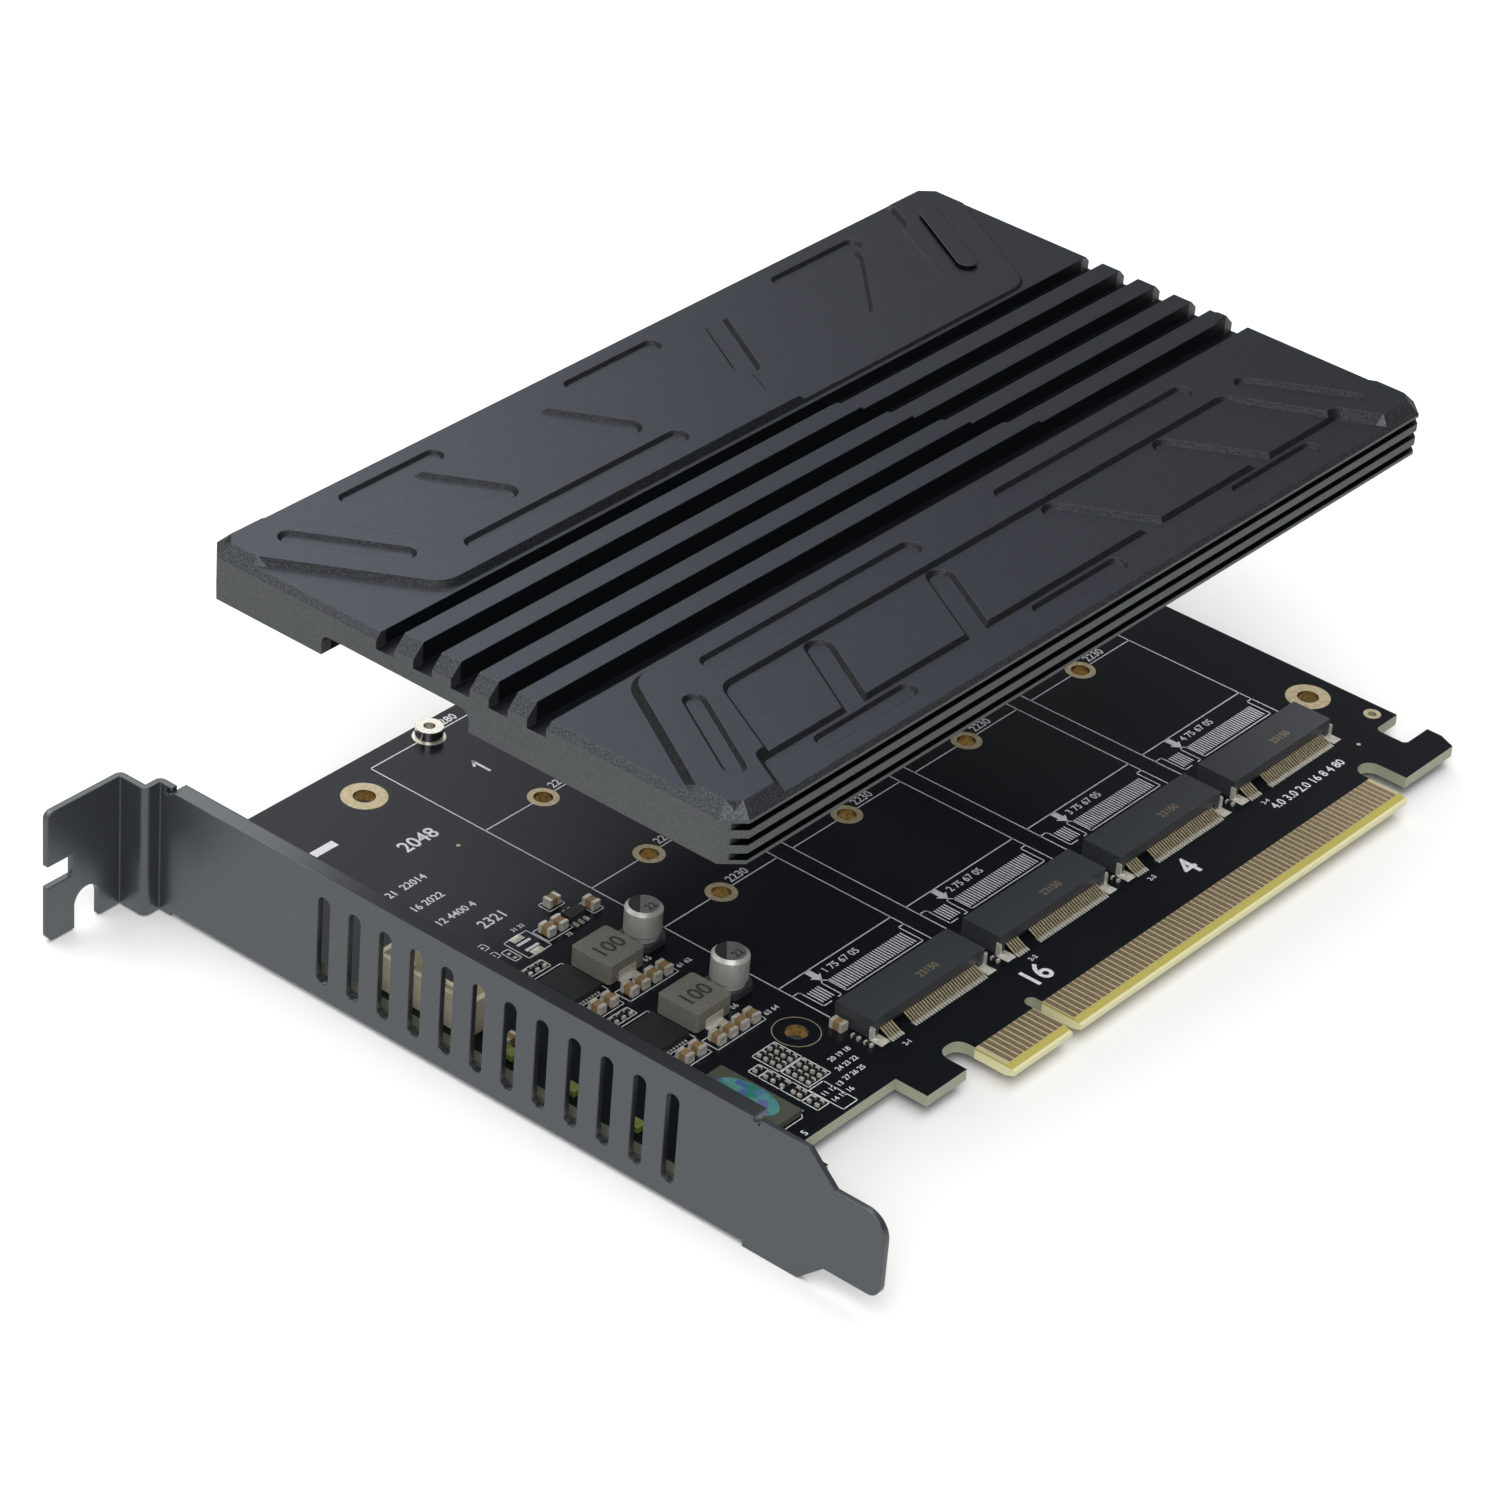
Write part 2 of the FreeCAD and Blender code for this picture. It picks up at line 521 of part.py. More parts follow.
def make_board():
    """The board's outline, its lead-in, notch and holes."""
    body = new_body("circuit_board")
    outline = new_sketch(body, "board_outline", height="-board_thick")
    add_outline(outline, [
        ("board_left", "board_top"), ("board_left", "tab_low"), ("tab_one_end", "tab_low"),
        ("tab_one_end", "tab_high"), ("tab_two_start", "tab_high"), ("tab_two_start", "tab_low"),
        ("relief_left", "tab_low"), ("relief_left", "relief_top"), ("tongue_left", "relief_top"),
        ("tongue_left", "0"), ("tongue_right", "0"), ("tongue_right", "relief_top"),
        ("relief_right", "relief_top"), ("relief_right", "hook_low"), ("hook_toe", "hook_low"),
        ("board_right", "hook_toe_top"), ("board_right", "hook_throat_low"),
        ("hook_throat", "hook_throat_low"), ("hook_throat", "hook_throat_high"),
        ("board_right", "hook_throat_high"), ("board_right", "board_top")])
    sheet_pad = add_feature(body, "Pad", "board_sheet", outline, {"Length": "board_thick"})
    reliefs = edges_on(sheet_pad, outline, (7, 8, 11, 12))
    rounded = dress(body, "Fillet", "relief_rounds", sheet_pad, reliefs, "relief_round")
    throat = edges_on(rounded, outline, (17, 18))
    dress(body, "Fillet", "throat_rounds", rounded, throat, "throat_round")

    bevel = new_sketch(body, "lead_in", plane="YZ_Plane")
    for face, inward in (("0", "-tongue_bevel_deep"),
                         ("-board_thick", "tongue_bevel_deep - board_thick")):
        add_outline(bevel, [("0", face), ("tongue_bevel", face), ("0", inward)])
    cut_feature(body, "tongue_lead_in", bevel, "2 * (tongue_right + overcut)", Midplane=True)

    holes = new_sketch(body, "round_holes")
    for x in ("cover_hole_left", "cover_hole_right"):
        for y in ("cover_hole_low", "cover_hole_high"):
            add_circle(holes, (x, y), "cover_hole")
    add_circle(holes, ("tooling_hole_x", "tooling_hole_y"), "tooling_hole")
    for y in ("ear_screw_low", "ear_screw_high"):
        add_circle(holes, ("ear_screw_x", y), "ear_screw_hole")
    cut_feature(body, "screw_holes", holes, "board_thick")

    notch = new_sketch(body, "key_notch_shape")
    add_outline(notch, [("-key_wide / 2", "-overcut"), ("key_wide / 2", "-overcut"),
                        ("key_wide / 2", "key_top"), ("-key_wide / 2", "key_top")])
    key = cut_feature(body, "key_notch", notch, "board_thick")
    dress(body, "Fillet", "key_round", key, edges_on(key, notch, (2, 3)), "key_wide / 2 - round_less")

    row = new_sketch(body, "drive_hole_row")
    for y in ("drive_long_80", "drive_long_60", "drive_long_42", "drive_long_30"):
        add_circle(row, ("drive_first", y), "drive_hole")
    first_row = cut_feature(body, "drive_holes", row, "board_thick")
    repeat(body, "drive_hole_rows", first_row, ("X_Axis", "3 * drive_pitch", False), "4")


def make_edge_contacts():
    """Gold contacts on both faces of the tongue, in a short and a long row."""
    pitch = value("contact_pitch")
    places = [-value("contact_first") - pitch * i for i in range(int(value("contacts_short")))]
    places += [value("contact_first") + pitch * i for i in range(int(value("contacts_long")))]
    middle = (value("contact_start") + value("contact_end")) / 2
    length = value("contact_end") - value("contact_start")
    thick = value("contact_thick")
    for node, z in (("edge_contacts_front", 0), ("edge_contacts_back", -value("board_thick") - thick)):
        grouped(node, [block(x, middle, z, value("contact_wide"), length, thick) for x in places])


# ---- bracket ---------------------------------------------------------------------------------


def make_bracket():
    """The folded steel bracket: slotted plate, lips, mounting ears, step and screw flange."""
    body = new_body("bracket")
    plate = new_sketch(body, "plate_outline", plane="YZ_Plane", height="bracket_face")
    add_outline(plate, [
        ("tip_end", "tip_low"), ("tip_low_root", "tip_low"), ("tip_shoulder", "plate_low_end"),
        ("lip_start", "plate_low_end"), ("lip_start", "plate_low"), ("lip_end", "plate_low"),
        ("lip_end", "neck_low"), ("jog_y", "neck_low"), ("jog_y", "neck_high"),
        ("lip_end", "neck_high"), ("lip_end", "plate_high"), ("tip_shoulder", "plate_high"),
        ("tip_high_root", "tip_high"), ("tip_end", "tip_high")])
    sheet_pad = add_feature(body, "Pad", "plate", plate, {"Length": "steel_thick"})
    low = dress(body, "Fillet", "tip_low_corner", sheet_pad, edges_on(sheet_pad, plate, (0,)),
                "tip_round_low")
    dress(body, "Fillet", "tip_high_corner", low, edges_on(low, plate, (13,)), "tip_round_high")

    fold = new_sketch(body, "step_and_flange_profile", height="neck_low")
    add_outline(fold, [
        ("bracket_face", "jog_y - overcut"), ("bracket_face", "jog_y"), ("jog_face", "jog_y"),
        ("jog_face", "flange_top - steel_thick"), ("flange_tip", "flange_top - steel_thick"),
        ("flange_tip", "flange_top"), ("jog_face + steel_thick", "flange_top"),
        ("jog_face + steel_thick", "jog_y + steel_thick"),
        ("bracket_face + steel_thick", "jog_y + steel_thick"),
        ("bracket_face + steel_thick", "jog_y - overcut")])
    flange = add_feature(body, "Pad", "step_and_flange", fold, {"Length": "neck_high - neck_low"})
    dress(body, "Fillet", "fold_rounds", flange, edges_on(flange, fold, (2, 6, 8)), "fold_round")

    for name, foot in (("upper_lip", "plate_high - steel_thick"), ("lower_lip", "plate_low")):
        lip = new_sketch(body, name + "_shape", height=foot)
        add_outline(lip, [("bracket_face", "lip_start"), ("bracket_face + lip_reach", "lip_start"),
                          ("bracket_face + lip_reach", "lip_end"), ("bracket_face", "lip_end")])
        add_feature(body, "Pad", name, lip, {"Length": "steel_thick"})
    ears = new_sketch(body, "ear_shapes", height="-board_thick - steel_thick")
    for middle in ("ear_screw_low", "ear_screw_high"):
        add_outline(ears, [("bracket_face + lip_reach / 2", f"{middle} - ear_wide / 2"),
                           ("ear_tip", f"{middle} - ear_wide / 2"),
                           ("ear_tip", f"{middle} + ear_wide / 2"),
                           ("bracket_face + lip_reach / 2", f"{middle} + ear_wide / 2")])
    add_feature(body, "Pad", "ears", ears, {"Length": "steel_thick"})
    ear_holes = new_sketch(body, "ear_hole_shapes", height="-board_thick")
    for middle in ("ear_screw_low", "ear_screw_high"):
        add_circle(ear_holes, ("ear_screw_x", middle), "cover_hole")
    cut_feature(body, "ear_holes", ear_holes, "2 * steel_thick")

    vent = new_sketch(body, "vent_shape", plane="YZ_Plane", height="bracket_face + steel_thick")
    half = "vent_wide / 2"
    add_outline(vent, [(f"vent_first - {half}", "vent_low"), (f"vent_first + {half}", "vent_low"),
                       (f"vent_first + {half}", "vent_high"), (f"vent_first - {half}", "vent_high")])
    first_vent = cut_feature(body, "vent", vent, "steel_thick")
    vents = repeat(body, "vents", first_vent,
                   ("Y_Axis", "vent_pitch * (vent_count - 1)", True), "vent_count")
    ends = [f"Edge{number}" for number, edge in enumerate(vents.Shape.Edges, 1)
            if abs(edge.Length - value("steel_thick")) < 1e-6
            and abs(edge.BoundBox.XLength - edge.Length) < 1e-6
            and min(abs(edge.CenterOfMass.z - value(end)) for end in ("vent_low", "vent_high")) < 1e-6]
    dress(body, "Fillet", "vent_rounds", vents, ends, "vent_wide / 2 - round_less")

    notch = new_sketch(body, "lip_relief_shapes", plane="YZ_Plane", height="bracket_face + steel_thick")
    for y in ("lip_start - relief_notch", "lip_end + relief_notch"):
        add_circle(notch, (y, "plate_high - relief_notch / 2"), "2 * relief_notch")
    cut_feature(body, "lip_reliefs", notch, "steel_thick")

    slots = new_sketch(body, "flange_cuts", plane="XZ_Plane", height="-flange_top")
    add_outline(slots, [("screw_slot_left", "neck_low - overcut"), ("screw_slot_right", "neck_low - overcut"),
                        ("screw_slot_right", "screw_slot_round_z"),
                        ("screw_slot_left", "screw_slot_round_z")])
    add_outline(slots, [("flange_tip - overcut", "locating_notch_low"),
                        ("flange_tip + locating_notch_deep", "locating_notch_low"),
                        ("flange_tip + locating_notch_deep", "locating_notch_high"),
                        ("flange_tip - overcut", "locating_notch_high")])
    cuts = cut_feature(body, "flange_slots", slots, "steel_thick", Reversed=True)
    round_end = new_sketch(body, "slot_end_shape", plane="XZ_Plane", height="-flange_top")
    add_circle(round_end, ("(screw_slot_left + screw_slot_right) / 2", "screw_slot_round_z"),
               "screw_slot_right - screw_slot_left")
    cuts = cut_feature(body, "slot_end", round_end, "steel_thick", Reversed=True)
    outer = [f"Edge{number}" for number, edge in enumerate(cuts.Shape.Edges, 1)
             if abs(edge.BoundBox.YLength - edge.Length) < 1e-6
             and abs(edge.CenterOfMass.x - value("flange_tip")) < 1e-6
             and min(abs(edge.CenterOfMass.z - value(end)) for end in ("neck_low", "neck_high")) < 1e-6]
    dress(body, "Fillet", "flange_corners", cuts, outer, "flange_round")


# ---- heat sink -------------------------------------------------------------------------------

SIDES = ((1, 1), (1, -1), (-1, 1), (-1, -1))


def signed(sign, alias):
    """The alias, led by a minus sign on the low side."""
    return alias if sign > 0 else "-" + alias


def make_heat_sink():
    """The machined cover: channels, stepped pads with sunk panels and slots, grooved edge."""
    body = new_body("heat_sink")
    bind(body, {"Placement.Base.x": "sink_x", "Placement.Base.y": "sink_y",
                "Placement.Base.z": "sink_z"})
    plan = new_sketch(body, "sink_outline")
    add_outline(plan, [
        ("-sink_long / 2 + sink_corner", "-sink_wide / 2"),
        ("sink_long / 2 - sink_corner", "-sink_wide / 2"),
        ("sink_long / 2", "-sink_wide / 2 + sink_corner"),
        ("sink_long / 2", "sink_wide / 2 - sink_corner"),
        ("sink_long / 2 - sink_corner", "sink_wide / 2"),
        ("-sink_long / 2 + sink_corner", "sink_wide / 2"),
        ("-sink_long / 2", "sink_wide / 2 - sink_corner"),
        ("-sink_long / 2", "-sink_wide / 2 + sink_corner")])
    slab = add_feature(body, "Pad", "slab", plan, {"Length": "sink_thick"})
    top_edges = [f"Edge{number}" for number, edge in enumerate(slab.Shape.Edges, 1)
                 if edge.BoundBox.ZMin > value("sink_thick") - 1e-6]
    dress(body, "Chamfer", "top_chamfer", slab, top_edges, "sink_edge")

    cut_sink_grooves(body)
    cut_sink_pads(body)
    cut_sink_slots(body)
    cut_strip_slots(body)
    cut_sink_underside(body)


def cut_sink_grooves(body):
    """Channels across the top and grooves along the connector-side edge."""
    channel = new_sketch(body, "channel_shape", height="sink_thick")
    low = "-channel_pitch * (channel_count - 1) / 2"
    add_outline(channel, [("-sink_long", f"{low} - channel_wide / 2"),
                          ("sink_long", f"{low} - channel_wide / 2"),
                          ("sink_long", f"{low} + channel_wide / 2"),
                          ("-sink_long", f"{low} + channel_wide / 2")])
    first = cut_feature(body, "channel", channel, "channel_deep")
    repeat(body, "channels", first,
           ("Y_Axis", "channel_pitch * (channel_count - 1)", False), "channel_count")

    groove = new_sketch(body, "edge_groove_shapes", plane="YZ_Plane")
    for number in range(int(value("groove_count"))):
        low = f"groove_first + {number} * groove_pitch"
        add_outline(groove, [("-sink_wide / 2 - overcut", low), ("-sink_wide / 2 + groove_deep", low),
                             ("-sink_wide / 2 + groove_deep", f"{low} + groove_high"),
                             ("-sink_wide / 2 - overcut", f"{low} + groove_high")])
    cut_feature(body, "edge_grooves", groove, "sink_long + 2 * overcut", Midplane=True)


def cut_sink_pads(body):
    """Steps of the two pads, each wall leaning at 45 degrees."""
    steps = (
        ("ledge", "ledge_deep",
         (("-ledge_out_x", "ledge_out_y"), ("-ledge_run", "ledge_edge"),
          ("ledge_run", "ledge_edge"), ("ledge_out_x", "ledge_out_y"),
          ("ledge_out_x + 2 * overcut", "channel_pitch * 2"),
          ("-ledge_out_x - 2 * overcut", "channel_pitch * 2"))),
        ("panel", "panel_deep",
         (("-panel_out_x", "panel_out_y"), ("-panel_run", "panel_far"),
          ("panel_run", "panel_far"), ("panel_out_x", "panel_out_y"))),
        ("strip", "strip_deep",
         (("-strip_out_x", "panel_out_y"), ("-strip_run", "strip_edge"),
          ("strip_run", "strip_edge"), ("strip_out_x", "panel_out_y"))),
    )
    for name, depth, corners in steps:
        for side in (1, -1):
            step = new_sketch(body, f"{name}_shape_{'high' if side > 0 else 'low'}",
                              height="sink_thick")
            add_outline(step, [(x, y if side > 0 else f"-({y})") for x, y in corners])
            doc.recompute()
            for corner in (2, 1):
                sketch_round(step, corner, name + "_round")
            cut_feature(body, f"{name}_{'high' if side > 0 else 'low'}", step, depth,
                        TaperAngle=-45)


def sketch_round(sketch, corner, radius):
    """Round one corner of a sketched outline."""
    sketch.fillet(corner, 1, value(radius), True, True, False)
    doc.recompute()


def cut_sink_slots(body):
    """Gaps between the panels and the decorative slots."""
    gaps = new_sketch(body, "panel_gaps", height="sink_thick")
    slots = new_sketch(body, "pad_slots", height="sink_thick")
    for x_side, y_side in SIDES:
        for gap in ("gap_one", "gap_two"):
            add_obround(gaps, (signed(x_side, gap + "_in"), signed(y_side, "gap_in_y")),
                        (signed(x_side, gap + "_out"), signed(y_side, "gap_out_y")), "gap_round")
        add_obround(slots, (signed(x_side, "inner_slot_start"), signed(y_side, "inner_slot_y")),
                    (signed(x_side, "inner_slot_end"), signed(y_side, "inner_slot_y")), "slot_round")
        add_obround(slots, (signed(x_side, "corner_slot_in_x"), signed(y_side, "corner_slot_in_y")),
                    (signed(x_side, "corner_slot_out_x"), signed(y_side, "corner_slot_out_y")),
                    "slot_round")
    cut_feature(body, "gaps", gaps, "strip_deep", TaperAngle=-45)
    cut_feature(body, "slots", slots, "slot_deep", TaperAngle=-45)


def cut_strip_slots(body):
    """Slots in the outer strips: one in the middle of each and one either side of it."""
    slots = new_sketch(body, "strip_slots", height="sink_thick - strip_deep")
    for side in (1, -1):
        for shift in ("-edge_slot_shift", "0", "edge_slot_shift"):
            add_outline(slots, [
                (f"{shift} - edge_slot_half", f"{side} * edge_slot_y - edge_slot_round"),
                (f"{shift} + edge_slot_half", f"{side} * edge_slot_y - edge_slot_round"),
                (f"{shift} + edge_slot_half", f"{side} * edge_slot_y + edge_slot_round"),
                (f"{shift} - edge_slot_half", f"{side} * edge_slot_y + edge_slot_round")])
    doc.recompute()
    for corner in range(slots.GeometryCount - 1, -1, -1):
        sketch_round(slots, corner, "edge_slot_corner")
    cut_feature(body, "edge_slots", slots, "edge_slot_deep", TaperAngle=-45)


def cut_sink_underside(body):
    """The hollow for the drives, the cable opening and the four screw holes."""
    hollow = new_sketch(body, "hollow_shape")
    add_outline(hollow, [("-sink_long / 2 + rim_wide", "-sink_wide / 2 + rim_wide"),
                         ("sink_long / 2 - rim_wide", "-sink_wide / 2 + rim_wide"),
                         ("sink_long / 2 - rim_wide", "sink_wide / 2 - rim_wide"),
                         ("-sink_long / 2 + rim_wide", "sink_wide / 2 - rim_wide")])
    cut_feature(body, "hollow", hollow, "cavity_deep", Reversed=True)

    bosses = new_sketch(body, "boss_shapes")
    threads = new_sketch(body, "thread_shapes")
    for x in ("cover_hole_left - sink_x", "cover_hole_right - sink_x"):
        for y in ("cover_hole_low - sink_y", "cover_hole_high - sink_y"):
            add_circle(threads, (x, y), "cover_thread")
        add_circle(bosses, (x, "cover_hole_low - sink_y"), "cover_boss")
    add_feature(body, "Pad", "bosses", bosses, {"Length": "cavity_deep"})
    cut_feature(body, "screw_threads", threads, "cover_thread_deep", Reversed=True)

    opening = new_sketch(body, "cable_opening_shape", plane="YZ_Plane", height="-sink_long / 2")
    add_outline(opening, [("cable_notch_low", "-overcut"), ("cable_notch_high", "-overcut"),
                          ("cable_notch_high", "cable_notch_high_z"),
                          ("cable_notch_low", "cable_notch_high_z")])
    doc.recompute()
    for corner in (3, 2):
        sketch_round(opening, corner, "cable_notch_round")
    cut_feature(body, "cable_opening", opening, "rim_wide + overcut", Reversed=True)


def make_thermal_pads():
    """A soft pad on the hollow's ceiling over each drive."""
    for number in range(4):
        name = f"thermal_pad_{number + 1}"
        pad = box(name, (f"drive_first + {number} * drive_pitch - thermal_pad_wide / 2",
                         "thermal_pad_y - thermal_pad_long / 2",
                         "sink_z + cavity_deep - thermal_pad_thick"),
                  ("thermal_pad_wide", "thermal_pad_long", "thermal_pad_thick"))
        keep(pad, name)


# ---- drive sockets ---------------------------------------------------------------------------


def lead_places():
    """Distances of a socket's contacts from its middle, with the key's gap between the groups."""
    pitch = value("lead_pitch")
    short = [value("lead_first") + pitch * i for i in range(int(value("leads_short")))]
    last = -value("lead_first")
    return short + [last - pitch * i for i in range(int(value("leads_long")))]


def make_sockets():
    """Four sockets: housing with its card mouth, bent contacts and hold-down tabs."""
    tabs = []
    for number in range(4):
        middle = f"(drive_first + {number} * drive_pitch)"
        centre = value("drive_first") + number * value("drive_pitch")
        name = f"drive_socket_{number + 1}"
        shell = box(name + "_shell", (f"{middle} - socket_long / 2", "socket_near", "0"),
                    ("socket_long", "socket_wide", "socket_tall"))
        mouth = box(name + "_mouth",
                    (f"{middle} - mouth_long / 2", "socket_near + socket_wide - mouth_deep",
                     "mouth_low"), ("mouth_long", "mouth_deep + overcut", "mouth_high"))
        key = box(name + "_key", (f"{middle} + key_wall_x - key_wall / 2",
                                  "socket_near + socket_wide - mouth_deep - overcut",
                                  "mouth_low - overcut"),
                  ("key_wall", "mouth_deep + 3 * overcut", "mouth_high + 2 * overcut"))
        slot = subtract(name + "_slot", mouth, key)
        window = box(name + "_window", (f"{middle} + lead_first - lead_pitch", "socket_near - overcut",
                                        "0"),
                     ("2 * (lead_pitch - lead_first)", "tail_window_deep + overcut", "tail_window"))
        keep(subtract(name, shell, join(name + "_openings", [slot, window])), name)

        near = value("socket_near")
        thick = value("lead_thick")
        rise = value("tail_window")
        root = near + value("tail_window_deep") - thick
        profile = [(value("lead_foot"), 0), (root, rise - thick), (root, rise),
                   (value("lead_foot"), thick)]
        grouped(f"socket_contacts_{number + 1}", [
            extrude_profile(profile, centre + x, value("lead_wide")) for x in lead_places()])
        tabs += [make_hold_down(centre, side) for side in (-1, 1)]
    grouped("socket_hold_downs", tabs)


def make_hold_down(centre, side):
    """A hold-down: a soldered tab before the socket's corner and a clip up the socket's end."""
    near, thick = value("socket_near"), value("hold_down_thick")
    wide = value("hold_down_wide")
    end = centre + side * value("socket_long") / 2
    tab = block(end + side * (thick - value("hold_down_long") / 2), near - wide / 2, 0,
                value("hold_down_long"), wide, thick)
    clip = block(end + side * thick / 2, near, 0, thick, wide / 2, value("hold_down_high"))
    return tab.fuse(clip).removeSplitter()


def extrude_profile(points, x, wide):
    """A strip of the given width whose side view is a closed outline of (y, z) points."""
    corners = [FreeCAD.Vector(x - wide / 2, y, z) for y, z in points]
    return Part.Face(Part.makePolygon(corners + corners[:1])).extrude(FreeCAD.Vector(wide, 0, 0))


def make_standoffs():
    """A threaded standoff for an 80 mm drive in each place, its spigot in the board's hole."""
    nuts = []
    for number in range(4):
        spot = (f"drive_first + {number} * drive_pitch", "drive_long_80")
        post = cylinder(f"standoff_post_{number + 1}", spot + ("0",), "standoff_across / 2",
                        "standoff_high")
        spigot = cylinder(f"standoff_spigot_{number + 1}", spot + ("-board_thick",),
                          "standoff_spigot / 2", "board_thick")
        bore = cylinder(f"standoff_bore_{number + 1}", spot + ("-board_thick",),
                        "standoff_bore / 2", "board_thick + standoff_high")
        solid = join(f"standoff_solid_{number + 1}", [post, spigot])
        nuts.append(subtract(f"standoff_{number + 1}", solid, bore))
    doc.recompute()
    group = doc.addObject("Part::Compound", "drive_standoffs")
    group.Links = nuts
    keep(group, "drive_standoffs")


def make_bracket_screws():
    """Two pan-head screws through the board into the bracket's ears."""
    screws = []
    for number, y in enumerate(("ear_screw_low", "ear_screw_high"), 1):
        head = cylinder(f"ear_screw_head_{number}", ("ear_screw_x", y, "0"), "ear_screw_head / 2",
                        "ear_screw_head_high")
        shank = cylinder(f"ear_screw_shank_{number}",
                         ("ear_screw_x", y, "-board_thick - steel_thick"), "cover_hole / 2",
                         "board_thick + steel_thick")
        cross = [box(f"ear_screw_cross_{number}_{turn}",
                     (f"ear_screw_x - {x_half}", f"{y} - {y_half}",
                      "ear_screw_head_high - ear_screw_cross_deep"),
                     (f"2 * {x_half}", f"2 * {y_half}", "ear_screw_head_high"))
                 for turn, (x_half, y_half) in enumerate((
                     ("ear_screw_cross_long", "ear_screw_cross_wide"),
                     ("ear_screw_cross_wide", "ear_screw_cross_long")))]
        solid = join(f"ear_screw_solid_{number}", [head, shank])
        screws.append(subtract(f"ear_screw_{number}", solid, join(f"ear_screw_recess_{number}", cross)))
    group = doc.addObject("Part::Compound", "bracket_screws")
    group.Links = screws
    keep(group, "bracket_screws")


# ---- power stage -----------------------------------------------------------------------------


def make_converters():
    """Two like converters: capacitor can on its foot, boxed inductor and regulator."""
    ends = []
    for number in (1, 2):
        shift = f" - {number - 1} * channel_shift"
        can_y = "can_y" + shift
        foot = box(f"can_foot_block_{number}",
                   ("can_x - can_foot_side / 2", f"{can_y} - can_foot_side / 2", "0"),
                   ("can_foot_side", "can_foot_side", "can_foot_high"))
        low_side = value("can_y") - (number - 1) * value("channel_shift")
        keep(chamfer_edges(f"capacitor_foot_{number}", foot,
                           lambda edge, y=low_side: is_upright(edge) and edge.CenterOfMass.y < y,
                           "can_foot_cut"), f"capacitor_foot_{number}")
        make_can(number, can_y)

        coil_y = "coil_y" + shift
        coil = box(f"coil_block_{number}",
                   ("coil_x - coil_long / 2", f"{coil_y} - coil_wide / 2", "coil_foot"),
                   ("coil_long", "coil_wide", "coil_high - coil_foot"))
        keep(chamfer_edges(f"inductor_{number}", coil, is_upright, "coil_cut"), f"inductor_{number}")
        middle = value("coil_y") - (number - 1) * value("channel_shift")
        for side in (-1, 1):
            face = middle + side * value("coil_wide") / 2
            thick = value("coil_end_thick")
            foot = block(value("coil_x"), face + side * value("coil_end_reach") / 2, 0,
                         value("coil_end_wide"), value("coil_end_reach"), thick)
            tab = block(value("coil_x"), face + side * thick / 2, 0, value("coil_end_wide"),
                        thick, value("coil_high") / 2)
            ends.append(foot.fuse(tab).removeSplitter())

        chip = box(f"regulator_{number}",
                   ("regulator_x - regulator_long / 2",
                    f"coil_y{shift} - regulator_wide / 2", "0"),
                   ("regulator_long", "regulator_wide", "regulator_high"))
        keep(chip, f"regulator_{number}")
    grouped("inductor_ends", ends)


def make_can(number, middle):
    """A capacitor can: a turned profile with a crimp and a rolled top edge."""
    node = f"capacitor_can_{number}"
    body = new_body(node)
    bind(body, {"Placement.Base.x": "can_x", "Placement.Base.y": middle,
                "Placement.Base.z": "can_foot_high"})
    side = new_sketch(body, f"can_profile_{number}", plane="XZ_Plane")
    wall = "can_across / 2"
    top = "can_high - can_foot_high"
    add_outline(side, [
        ("0", "0"), (f"{wall} - can_groove", "0"), (f"{wall} - can_groove", "2 * can_groove"),
        (wall, "3 * can_groove"), (wall, f"{top} - can_top_round"),
        (f"{wall} - can_top_round", top), ("0", top)])
    turned = add_feature(body, "Revolution", f"can_turned_{number}", side, {})
    turned.ReferenceAxis = (side, ["V_Axis"])
    turned.Angle = 360
    doc.recompute()


# ---- signal parts ----------------------------------------------------------------------------


def make_clock_chip():
    """A long chip with leads slanting down on two sides, under an oval label."""
    chip = box("clock_chip", ("clock_x - clock_wide / 2", "clock_y - clock_long / 2", "clock_lift"),
               ("clock_wide", "clock_long", "clock_high - clock_lift"))
    keep(chip, "clock_chip")
    leads = []
    pitch = value("lead_pitch")
    count = int(value("clock_leads"))
    for side in (-1, 1):
        root = value("clock_x") + side * value("clock_wide") / 2
        reach = side * value("clock_lead_reach")
        thick = value("lead_thick")
        knee = value("clock_high") / 2
        points = [(root, knee), (root + reach, thick), (root + reach, 0), (root, knee - thick)]
        for i in range(count):
            y = value("clock_y") + pitch * (i - (count - 1) / 2)
            corners = [FreeCAD.Vector(x, y - value("lead_wide") / 2, z) for x, z in points]
            face = Part.Face(Part.makePolygon(corners + corners[:1]))
            leads.append(face.extrude(FreeCAD.Vector(0, value("lead_wide"), 0)))
    grouped("clock_chip_leads", leads)

    label = doc.addObject("Part::Feature", "oval_label")
    rim = Part.Ellipse(FreeCAD.Vector(), value("sticker_long") / 2, value("sticker_wide") / 2)
    face = Part.Face(Part.Wire(rim.toShape()))
    label.Shape = face.extrude(FreeCAD.Vector(0, 0, value("sticker_thick")))
    label.Placement = FreeCAD.Placement(
        FreeCAD.Vector(value("clock_x"), value("clock_y"), value("clock_high")),
        FreeCAD.Rotation(FreeCAD.Vector(0, 0, 1), 90))
    keep(label, "oval_label")


